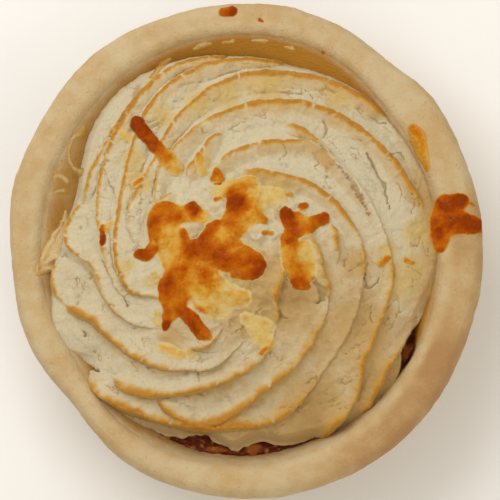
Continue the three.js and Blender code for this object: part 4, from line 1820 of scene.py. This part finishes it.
@dataclass(frozen=True)
class MeltedScrap:
    """A piece of something melted or smeared, made of strands and films that have run together."""

    name: str
    strands: tuple[Strand, ...]
    nodes: tuple[str, ...] = ()
    cell: float = 0.28
    # How far it bridges hollows, how softly its strands join, and how deep its edge runs under the surface
    bridge: float = 2.2
    join: float = 0.25
    sunk: float = 0.5
    # How thick it is before its own colour shows in full
    fading: float = 0.3
    softness: float = 1.5
    # How far its edges stray, the share of that by which they stray in small, and the sizes of both
    ragged: float = 0.4
    fine_ragged: float = 0.4
    ragged_sizes: tuple[float, float] = (2.6, 0.9)
    seed: int = 80
    strand_steps: int = 7
    margin: float = 2.0
    # How fast a strand's own toasting gives way along it, and how much darker its core is
    giving_way: float = 3.0
    core_shade: float = 0.25
    core_level: float = 0.4
    # The least thickness and the furthest share of its width that count beside a strand
    least_thick: float = -2.0
    furthest: float = 6.0
    least_weight: float = 1e-12
    mottling: float = 0.14
    mottling_size: float = 1.7
    # Where it is thick enough to bridge, and how far it sinks below a bridge
    bridging: Rise = (-0.1, 0.4)
    sinking: float = 0.3
    # The strength and the size of its lumps, which show where it is thick
    lumps: tuple[tuple[float, float], ...] = ((0.18, 2.0), (0.1, 0.8))
    lumpy: Rise = (0.0, 0.8)

    def build(self, bed: Bed, material: Material) -> Piece:
        """Builds the scrap.

        Args:
            bed: what it lies on.
            material: its finish.

        Returns:
            The piece.
        """
        routes = [smooth_path(strand.points, self.strand_steps) for strand in self.strands]
        for route in routes:
            route[:, 0], route[:, 1] = bed.carried(route[:, 0], route[:, 1])
        spread = np.vstack(routes)
        margin = spread[:, 2].max() + self.margin
        lines = [np.arange(line.min() - margin, line.max() + margin, self.cell) for line in spread.T[:2]]
        x, y = np.meshgrid(*lines)
        places = np.column_stack([x.ravel(), y.ravel(), np.zeros(x.size)])
        thick, toast = (laid.reshape(x.shape) for laid in self._laid(places, routes))
        under = np.full(x.shape, np.nan)
        wanted = thick > -3 * self.sunk
        under[wanted] = bed.heights(x[wanted], y[wanted])
        inside = (thick > -self.sunk) & np.isfinite(under)
        under = np.where(np.isfinite(under), under, np.nanmean(under))
        top = self._draped(places, thick, under)
        values = {"toast": toast, "film": ease(thick, 0.0, self.fading)}
        return self._closed(np.stack([x, y, top], axis=-1), under, inside, values, material)

    def _laid(self, places: Array, routes: Sequence[Array]) -> Pair:
        """Lays the strands over each other.

        Args:
            places: level places, one a row.
            routes: the strands' points.

        Returns:
            How thick the scrap is at each place, below 0 outside it, and how toasted it is.
        """
        broad, small = self.ragged_sizes
        coarse = [Noise(broad, self.seed + side, 1, self.ragged) for side in (0, 1)]
        fine_ragged, fine_seed = self.fine_ragged * self.ragged, self.seed + FINE_EDGE
        fine = [Noise(small, fine_seed + side, 1, fine_ragged) for side in (0, 1)]
        x, y = (places[:, side] + uneven(places, (coarse[side], fine[side])) for side in (0, 1))
        joined, weighed_toast, weight = (np.zeros(len(places)) for _ in range(3))
        for strand, route in zip(self.strands, routes):
            gaps = np.hypot(x[:, None] - route[:, 0], y[:, None] - route[:, 1]) / route[:, 2]
            nearest = gaps.min(axis=1)
            shares = np.exp(-self.giving_way * (gaps**2 - nearest[:, None] ** 2))
            core = self.core_shade * (self.core_level - np.minimum(nearest, 1.0) ** 2)
            toast = shares @ route[:, 3] / shares.sum(axis=1) + core
            cap = np.where(nearest < 1, 1 - nearest**2, -2 * (nearest - 1))
            joined += np.exp(np.maximum(strand.rise * cap, self.least_thick) / self.join)
            # The browning fades out softly round each strand
            fade = np.exp(-self.softness * np.minimum(nearest, self.furthest) ** 2)
            share = strand.rise**3 * fade + self.least_weight
            weighed_toast += share * toast
            weight += share
        mottling = Noise(self.mottling_size, self.seed + MOTTLING, 2, self.mottling).at(places)
        return self.join * np.log(joined), weighed_toast / weight + mottling

    def _draped(self, places: Array, thick: Array, under: Array) -> Array:
        """Drapes the scrap over its bed.

        Args:
            places: the grid's places, level, one a row.
            thick: how thick the scrap is at each, as a grid.
            under: how high the bed is, as a grid.

        Returns:
            The height of its top, as a grid.
        """
        reach = max(1, round(2 * self.bridge / self.cell))
        steps = np.arange(-reach, reach + 1)
        weights = np.exp(-((steps * self.cell / self.bridge) ** 2))
        level = under
        for axis in (0, 1):
            rolled = [weight * np.roll(level, step, axis) for step, weight in zip(steps, weights)]
            level = sum(rolled) / weights.sum()
        lifted = np.maximum(level - under, -self.sinking * np.maximum(thick, 0))
        bridged = under + ease(thick, *self.bridging) * lifted
        (much, broad), (little, small) = self.lumps
        broad_lumps = Noise(broad, self.seed + BROAD_LUMPS, 1, much)
        lumps = (broad_lumps, Noise(small, self.seed + SMALL_LUMPS, 2, little))
        return bridged + thick + ease(thick, *self.lumpy) * uneven(places, lumps).reshape(thick.shape)

    def _closed(
        self, top: Array, under: Array, inside: Array, values: dict[str, Array], material: Material
    ) -> Piece:
        """Closes the scrap from below.

        Args:
            top: the grid of points of its top.
            under: how high the bed is at each.
            inside: which of them are part of it.
            values: what its finish reads at each.
            material: its finish.

        Returns:
            The piece.
        """
        cells = inside[:-1, :-1] & inside[1:, :-1] & inside[:-1, 1:] & inside[1:, 1:]
        numbers = np.arange(inside.size).reshape(inside.shape)
        corners = np.stack([numbers[:-1, :-1], numbers[:-1, 1:], numbers[1:, 1:], numbers[1:, :-1]], axis=-1)
        padded = np.pad(cells, 1)
        faces = [corners[cells], inside.size + corners[cells][:, ::-1]]
        beside = (padded[:-2, 1:-1], padded[1:-1, 2:], padded[2:, 1:-1], padded[1:-1, :-2])
        for side, neighbour in enumerate(beside):
            edge = corners[cells & ~neighbour]
            start, end = edge[:, side], edge[:, (side + 1) % 4]
            faces.append(np.stack([start, start + inside.size, end + inside.size, end], axis=-1))
        used, renumbered = np.unique(np.vstack(faces), return_inverse=True)
        low = top.copy()
        low[..., 2] = np.minimum(under, top[..., 2]) - self.sunk
        points = np.vstack([top.reshape(-1, 3), low.reshape(-1, 3)])[used]
        held = {key: np.tile(grid.ravel(), 2)[used] for key, grid in values.items()}
        return new_piece(self.name, points, renumbered.reshape(-1, 4).tolist(), held, material)


MASH_CHEESE = (
    MeltedScrap("cheese_mass", strands(
        # Films that ran between the strands
        (0.62, (-20, 7.5, 4.0, 0.42), (-19, 3.5, 4.0, 0.26), (-17.5, 0, 4.2, 0.2), (-17, -3, 3.8, 0.34)),
        (0.5, (-16, 8.4, 2.4, 0.3), (-12.8, 8.8, 2.6, 0.3), (-10.4, 7.6, 2.0, 0.12)),
        (0.65, (-13, -3, 4.2, 0.4), (-11, -7, 4.6, 0.42), (-8, -9.4, 3.6, 0.3)),
        (0.62, (-15.5, -8, 4.2, 0.4), (-17, -12.5, 3.2, 0.45), (-18.3, -16.5, 2.2, 0.42)),
        (0.65, (-6, 2.6, 3.6, 0.42), (-3.5, 5, 3.6, 0.4), (-1, 8, 4.4, 0.36), (1.6, 8.5, 3.2, 0.3)),
        (0.45, (-6, 14.6, 2.2, 0.04), (-2, 15.2, 2.6, 0.14), (1.6, 16.4, 2.0, 0.26)),
        (0.34, (2.4, 12.4, 2.8, 0.1), (6, 13.2, 2.4, 0.02), (9, 13, 1.8, 0.0)),
        (0.32, (-9, -10.5, 3.2, 0.18), (-5, -12, 3.2, 0.08), (0, -12.4, 2.2, 0.2)),
        (0.26, (-10, -14, 2.6, 0.06), (-6.5, -15.5, 2.2, 0.02)),
        (0.72, (-4.5, -0.5, 4.2, 0.44), (0, -3.4, 4.2, 0.44), (2, -5, 3.0, 0.5)),
        # Strands that browned, from the left round to the right
        (1.0, (-16.6, 8.1, 1.5, 1.0), (-18, 7.4, 1.6, 0.92)),
        (0.95, (-18.4, 9.6, 2.3, 0.72), (-20.6, 9.2, 2.5, 0.74), (-22, 6.4, 2.1, 0.76),
         (-21.8, 3.2, 2.0, 0.6)),
        (1.05, (-25.8, -1, 1.7, 0.84), (-24.2, -1.2, 1.8, 0.74), (-22.6, 0.4, 1.8, 0.55)),
        (1.1, (-12.8, 10.6, 1.4, 1.02), (-12.2, 9.8, 1.5, 0.85)),
        (0.85, (-15.1, 4.2, 1.0, 0.62), (-14.4, 1.8, 1.2, 0.68), (-13.6, -0.8, 1.5, 0.78)),
        (1.0, (-6.8, 5.8, 1.6, 0.7), (-8.4, 4, 1.8, 0.84), (-10.4, 1.4, 2.1, 0.82),
         (-13.4, -0.8, 2.1, 0.88)),
        (1.1, (-12, -0.4, 2.4, 0.86), (-7.8, -0.8, 2.9, 0.9), (-4.4, -2.7, 2.9, 0.9), (-0.6, -3, 2.9, 0.76),
         (2, -3.4, 2.9, 0.8), (3.6, -4.2, 2.1, 1.05)),
        (1.0, (-2.4, -6.6, 1.1, 0.72), (1, -6.4, 1.6, 0.76), (3.2, -5.6, 1.8, 1.0)),
        (1.05, (-2.3, 12.4, 2.2, 1.0), (-2, 10.6, 2.5, 1.05), (-2, 8.6, 2.3, 0.78), (-3.4, 5.4, 2.2, 0.56)),
        (0.8, (-0.4, 15, 1.4, 0.55), (1.2, 16.2, 1.2, 0.4)),
        (0.6, (3.2, 7.6, 1.2, 0.4), (4.9, 7, 1.1, 0.55)),
        (0.95, (-15.1, -4.7, 1.9, 0.9), (-17.1, -6.7, 2.4, 0.68), (-19.1, -9.2, 2.4, 0.92),
         (-19.2, -11.4, 2.0, 0.7), (-18.8, -14, 1.5, 0.56), (-19.1, -17, 1.3, 0.6),
         (-19.4, -19.1, 1.2, 0.95)),
        (1.4, (-16.2, -14.6, 1.6, 0.74), (-13.2, -17.4, 1.9, 0.82), (-10.8, -20.4, 1.9, 0.8),
         (-9.2, -21.8, 1.5, 0.5)),
        (0.8, (-9.9, -6.2, 1.8, 0.66), (-9.3, -6.5, 1.7, 0.64)),
    ), ("cheese_melt",)),
    MeltedScrap("cheese_tangle", strands(
        (0.65, (11.4, 0, 2.6, 0.4), (12, -3.4, 3.0, 0.3), (12.8, -6.4, 2.8, 0.36)),
        (0.42, (15.2, 0, 2.0, 0.06), (15.8, -4, 2.2, 0.04), (16, -6.6, 1.8, 0.08)),
        (0.4, (13.4, 7.4, 1.8, 0.12), (14.8, 6, 2.0, 0.1)),
        (1.25, (10.2, 8.4, 1.9, 0.94), (11.4, 6.2, 2.1, 0.76), (11.6, 4.2, 1.9, 0.62),
         (11, 2.2, 2.1, 0.76)),
        (0.95, (13, 3.6, 1.4, 0.64), (15.2, 4.4, 1.4, 0.58), (17.4, 6.2, 1.9, 0.7), (19.6, 7.2, 1.6, 0.82)),
        (0.8, (14, 10.2, 1.0, 0.6), (15, 10.3, 0.9, 0.6)),
        (1.2, (12.8, -8.4, 1.6, 0.7), (14.4, -9, 2.0, 0.82)),
    ), ("cheese_knot",), seed=81),
    MeltedScrap("cheese_shred", strands(
        (1.7, (-26.4, 31.2, 1.9, 1.05), (-25, 29.4, 1.9, 1.0), (-22.6, 26.4, 1.8, 0.9),
         (-20.5, 24.2, 1.8, 0.66), (-19, 22.6, 1.7, 0.4)),
        (1.1, (-20.4, 23.6, 1.8, 0.4), (-18.5, 21.8, 2.1, 0.3), (-16.8, 20, 2.0, 0.1)),
    ), ("cheese_stick",), seed=82),
    MeltedScrap("cheese_flakes", strands(
        (0.7, (-34.9, 6, 0.4, 0.6), (-35, 3.8, 0.75, 0.85), (-35.2, 2.2, 0.9, 1.0), (-35.1, 1.6, 0.7, 1.0)),
        (0.3, (-34, 5.2, 1.1, 0.06), (-33.4, 6.8, 0.9, 0.02)),
        (0.35, (-30, 28.8, 1.3, 0.05), (-28.8, 28, 1.4, 0.05)),
        (0.28, (-26.8, 16.4, 1.2, 0.36), (-25.6, 17, 1.3, 0.34)),
        (0.4, (2.4, -20.4, 1.6, 0.02), (4.8, -22.8, 2.2, 0.06), (6.4, -23.4, 1.5, 0.04)),
        (0.22, (0.4, -17.4, 1.6, 0.02), (3, -18.6, 1.9, 0.0), (6, -19.4, 1.6, 0.02)),
        (0.5, (4.4, -26.2, 0.7, 0.42), (5.8, -25, 0.8, 0.42)),
        (0.6, (33.2, -4.6, 0.7, 0.38), (35.6, -3.2, 0.9, 0.3)),
        (0.5, (39.8, -3.4, 0.7, 0.4), (41.4, -4.2, 0.7, 0.3)),
        (0.7, (-7.4, 17.6, 1.2, 0.5), (-6.7, 19.2, 0.9, 0.42), (-6, 17.5, 1.1, 0.5)),
        (0.4, (-7, 16, 0.5, 0.7), (-5.8, 16.2, 0.5, 0.9)),
        (0.4, (-7, 12.2, 0.8, 0.45), (-6, 12.6, 0.7, 0.45)),
        (0.6, (5, 3.9, 0.7, 0.5), (6.6, 3.7, 0.7, 0.4)),
        (0.22, (-20, -24.4, 1.4, 0.02), (-17.8, -25.6, 1.6, 0.0)),
        (0.3, (-16.2, -26.6, 1.1, 0.04), (-15.4, -26.2, 0.9, 0.02)),
        (0.45, (-13.4, -25, 0.7, 0.02), (-13, -27, 0.9, 0.02)),
        (0.4, (-11.2, 23.4, 0.9, 0.5), (-10.7, 21.4, 1.3, 0.2), (-10.4, 19.2, 1.4, 0.06)),
        (0.4, (-21.6, -16, 0.9, 0.02), (-21.2, -18.4, 0.9, 0.02)),
        (0.35, (-22, -6, 0.8, 0.02), (-21.6, -8, 0.8, 0.02)),
        (0.35, (10.6, 13.2, 0.6, 0.4), (11.8, 13.4, 0.6, 0.35)),
    ), cell=0.24, seed=83),
)

RIM_CHEESE = (
    MeltedScrap("rim_cheese_patch", strands(
        (0.5, (49.4, 9.6, 2.6, 0.66), (48.5, 6, 2.9, 0.72), (48.6, 2, 2.7, 0.72), (48.6, -0.6, 1.5, 0.54)),
        (0.7, (51, 9.4, 2.8, 0.88), (53, 10.2, 2.4, 1.0), (54.2, 10.6, 1.8, 0.88)),
        (0.7, (51.6, 5.4, 3.4, 0.94), (54.6, 5, 3.0, 1.02), (56.8, 4.6, 2.5, 0.92), (58.2, 4.6, 1.9, 1.0)),
        (0.2, (56.4, 10, 0.5, 0.4), (56.9, 9.6, 0.4, 0.4)),
    ), ("cheese_rim_patch",), ragged=0.25, seed=84),
    MeltedScrap("rim_cheese_drip", strands(
        (0.3, (42.2, 28.8, 1.7, 0.42), (43.2, 26.8, 2.1, 0.46), (44, 24, 1.7, 0.34),
         (44.9, 21.4, 1.2, 0.26), (45.6, 19.2, 0.8, 0.22)),
    ), ("cheese_rim_drip",), ragged=0.25, seed=85),
    MeltedScrap("rim_cheese_spot", strands(
        (0.9, (-5, 59.6, 1.3, 0.66), (-2.8, 59.8, 1.5, 0.85)),
        (0.35, (3.8, 57.4, 0.6, 0.7), (4.4, 57, 0.5, 0.7)),
        (0.2, (19.5, 49.4, 0.5, 0.9), (19.9, 49.1, 0.5, 0.95)),
    ), ("cheese_rim_spot",), cell=0.22, seed=86),
)

SMEARS = MeltedScrap("mash_smears", strands(
    # A curl of mash on the wall at the upper left
    (0.08, (-40.1, 31.8, 0.3, 0.1), (-41.1, 30.1, 0.6, 0.0), (-42.8, 28.2, 0.5, 0.0),
     (-43.9, 26, 0.45, 0.0), (-43.7, 23.2, 0.45, 0.0), (-42.5, 21.4, 0.5, 0.0), (-41.2, 20.4, 0.7, 0.0)),
    (0.08, (-47.6, 18.4, 0.4, 0.1), (-46.3, 19.2, 0.6, 0.0), (-44.6, 18, 0.6, 0.0)),
    (0.08, (-47.3, 15, 0.3, 0.1), (-45.4, 15.5, 0.45, 0.0)),
    # A fan of it on the left, and the fingers at its edge
    (0.12, (-44.6, 10.4, 0.4, 0.1), (-45.2, 7, 0.9, 0.0), (-46.6, 4, 1.3, 0.0), (-48.6, 0.6, 1.6, 0.1),
     (-50, -2.6, 1.4, 0.2), (-51, -5.4, 0.9, 0.2)),
    (0.12, (-47.2, 1.2, 0.5, 0.0), (-45.5, 2.4, 0.45, 0.0)),
    (0.12, (-47.8, -0.6, 0.5, 0.0), (-45.8, 0.6, 0.45, 0.0)),
    (0.12, (-49, -2.6, 0.5, 0.1), (-47.4, -1.3, 0.45, 0.0)),
    (0.12, (-50, -4.8, 0.5, 0.1), (-48.4, -4, 0.4, 0.0)),
    (0.2, (-45.8, 7.4, 0.4, 0.0), (-48.2, 2.4, 0.35, 0.0), (-50.2, -1.8, 0.3, 0.1)),
    (0.2, (-45, 5.6, 0.4, 0.0), (-47, 1.6, 0.4, 0.0), (-49.4, -3, 0.3, 0.1)),
    # Specks along the far side
    (0.06, (-19, 48.2, 0.5, 0.0), (-21.2, 46, 0.7, 0.0), (-22.8, 43.4, 0.8, 0.0)),
    (0.1, (-12.6, 51, 0.35, 0.2), (-10.6, 51.9, 0.55, 0.0), (-8.6, 52.1, 0.35, 0.2)),
    (0.1, (-5.4, 52.3, 0.3, 0.2), (-3, 52.8, 0.5, 0.0)),
    (0.1, (2, 52.8, 0.3, 0.2), (4, 52.6, 0.5, 0.0), (5.6, 52.5, 0.3, 0.2)),
    (0.1, (10, 51.1, 0.3, 0.2), (12, 50.5, 0.5, 0.0)),
), cell=0.2, sunk=0.3, fading=0.12, seed=95)


# Mince


@dataclass(frozen=True)
class MinceFilling:
    """The mince under the mash, lumpy and wet where it shows."""

    level: float = 22.8
    floor: float = 4.3
    lip_gap: float = 1.2
    floor_gap: float = 1.5
    # Only its edge shows, so it is cut finely there and plainly in the middle
    shown_shares: tuple[float, float] = (1.0, 0.68)
    hidden_shares: tuple[float, ...] = (0.4, 0.1)
    under_share: float = 0.5
    sides: int = 300
    rings: int = 70
    smooth_to: float = 34.0
    smooth_width: float = 3.0
    lumps: tuple[Noise, ...] = (Noise(3.4, 101), Noise(1.5, 102, strength=0.5))
    lump_gain: float = 1.3
    lump_level: float = 0.6
    lump_height: float = 1.5

    def build(self, shell: PastryShell, material: Material) -> Piece:
        """Builds the filling.

        Args:
            shell: the case that it fills.
            material: its finish.

        Returns:
            The piece.
        """
        turn = np.linspace(0.0, 2 * math.pi, self.sides, endpoint=False)
        edge = shell.lip_radius - self.lip_gap + shell.lip_swell(turn)
        shown = np.linspace(*self.shown_shares, self.rings)
        shares = np.concatenate([shown, self.hidden_shares])[:, None]
        radius = shares * edge
        level = polar(turn, radius, np.zeros_like(radius)).reshape(-1, 3)
        rough = ease(radius.ravel(), self.smooth_to, self.smooth_to + self.smooth_width)
        lump = np.clip(self.lump_gain * sum(np.abs(noise.at(level)) for noise in self.lumps), 0, 1)
        height = self.level + self.lump_height * rough * (lump - self.lump_level)
        top = np.column_stack([level[:, :2], height]).reshape(len(shares), self.sides, 3)
        foot_radius = np.full(self.sides, shell.floor_radius - self.floor_gap)
        foot = polar(turn, foot_radius, np.full(self.sides, self.floor))
        under = foot * (self.under_share, self.under_share, 1)
        rings = np.concatenate([under[None], foot[None], top])
        held = {"lump": np.concatenate([np.zeros(1 + 2 * self.sides), lump, [0.0]])}
        faces = turned_faces(len(rings), self.sides)
        return new_piece("mince", turned_points(rings), faces, held, material)


# Studio


@dataclass(frozen=True)
class Lamp:
    """A square lamp that faces the pie: where it hangs, the length of its sides, its power and its colour."""

    name: str
    place: tuple[float, float, float]
    size: float
    power: float
    colour: Colour

    def hang(self) -> None:
        """Hangs the lamp."""
        lamp = bpy.data.lights.new(self.name, "AREA")
        lamp.size, lamp.energy, lamp.color = self.size * METRE, self.power, self.colour
        hung = bpy.data.objects.new(self.name, lamp)
        hung.location = Vector(self.place) * METRE
        hung.rotation_euler = (-hung.location).to_track_quat("-Z", "Y").to_euler()
        bpy.context.scene.collection.objects.link(hung)


@dataclass(frozen=True)
class Studio:
    """The floor, the soft light and the camera."""

    frame_pixels: int = 500
    middle_pixel: tuple[float, float] = (244.4, 248.2)
    millimetres_per_pixel: float = 0.2475
    look_height: float = 28.0
    azimuth: float = 25.0
    elevation: float = 79.0
    distance: float = 1500.0
    sensor: float = 36.0
    floor_size: float = 4000.0
    # A broad soft lamp to the upper left, and a weak one opposite
    lamps: tuple[Lamp, ...] = (
        Lamp("key", (-190.0, 265.0, 430.0), 430.0, 1.62, (1.0, 0.98, 0.955)),
        Lamp("fill", (330.0, -330.0, 420.0), 420.0, 0.75, (1.0, 0.9, 0.74)),
    )
    room_colour: Colour = (1.0, 0.95, 0.86)
    room_light: float = 0.7

    def build(self, finish: FloorFinish) -> None:
        """Sets the stage.

        Args:
            finish: the floor's finish.
        """
        self._floor(finish)
        for lamp in self.lamps:
            lamp.hang()
        self._room()
        self._camera()

    def _floor(self, finish: FloorFinish) -> None:
        """Lays the floor, in the given finish."""
        half = self.floor_size / 2
        corners = [(-half, -half, 0), (half, -half, 0), (half, half, 0), (-half, half, 0)]
        floor = new_piece("floor", np.array(corners, float), [[0, 1, 2, 3]], {}, finish.material())

    def _room(self) -> None:
        """Lights the room evenly."""
        world = bpy.data.worlds.new("room")
        world.use_nodes = True
        room = world.node_tree.nodes["Background"]
        room.inputs["Color"].default_value = (*self.room_colour, 1.0)
        room.inputs["Strength"].default_value = self.room_light
        bpy.context.scene.world = world
        bpy.context.scene.view_settings.view_transform = "Standard"

    def _camera(self) -> None:
        """Sets the camera over the pie, tilted a little, with +Y up in the picture."""
        azimuth, elevation = math.radians(self.azimuth), math.radians(self.elevation)
        level = math.cos(elevation)
        back = Vector((math.sin(azimuth) * level, -math.cos(azimuth) * level, math.sin(elevation)))
        right = Vector((0, 1, 0)).cross(back).normalized()
        up = back.cross(right)
        offset = [self.frame_pixels / 2 - pixel for pixel in self.middle_pixel]
        aside = (right * offset[0] - up * offset[1]) * self.millimetres_per_pixel
        aim = aside + Vector((0, 0, self.look_height))
        lens = bpy.data.cameras.new("camera")
        lens.sensor_width = self.sensor
        lens.lens = self.sensor * self.distance / (self.frame_pixels * self.millimetres_per_pixel)
        camera = bpy.data.objects.new("camera", lens)
        turned = Matrix((right, up, back)).transposed().to_4x4()
        camera.matrix_world = Matrix.Translation((aim + back * self.distance) * METRE) @ turned
        bpy.context.scene.collection.objects.link(camera)
        bpy.context.scene.camera = camera


# The pie


def seat(piece: Piece, slot: Slot, *nodes: str) -> None:
    """Fixes a piece to the pie.

    Args:
        piece: the piece.
        slot: the record's slot for its finish; not used.
        nodes: the solids that it stands for.
    """
    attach(piece, BODY)
    if nodes:
        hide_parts(*nodes)
    names = ", ".join(nodes) or "none"
    LOG.info("%s: %d faces, stands for %s", piece.name, len(piece.data.polygons), names)


CHEESE_FINISH = CheeseFinish()
RIM_CHEESE_FINISH = CheeseFinish("rim_cheese", thin=(0.47, 0.26, 0.06))
SMEAR_FINISH = CheeseFinish("mash_smear", (0.57, 0.43, 0.22), (0.52, 0.34, 0.12), thin=(0.46, 0.26, 0.05))


def main() -> None:
    """Builds the pie and sets the stage."""
    logging.basicConfig(level=logging.INFO, format="%(message)s")
    shell, swirl = PastryShell(), MashSwirl()
    finishes = (CHEESE_FINISH, RIM_CHEESE_FINISH, SMEAR_FINISH)
    cheese, rim_cheese, smear = (finish.material() for finish in finishes)
    pastry = shell.build(PastryFinish().material())
    seat(pastry, Slot.PASTRY, "pastry_shell")
    seat(MinceFilling().build(shell, MinceFinish().material()), Slot.MINCE, "mince_filling")
    piping = swirl.build(MashFinish().material())
    seat(piping, Slot.MASH, "mash_swirl")
    on_mash, on_rim = Bed([piping], swirl.leaned), Bed([pastry, piping], unmoved)
    for scrap in MASH_CHEESE:
        seat(scrap.build(on_mash, cheese), Slot.CHEESE, *scrap.nodes)
    for scrap in RIM_CHEESE:
        seat(scrap.build(on_rim, rim_cheese), Slot.CHEESE, *scrap.nodes)
    seat(SMEARS.build(on_rim, smear), Slot.MASH)
    Studio().build(FloorFinish())


if __name__ == "__main__":
    main()
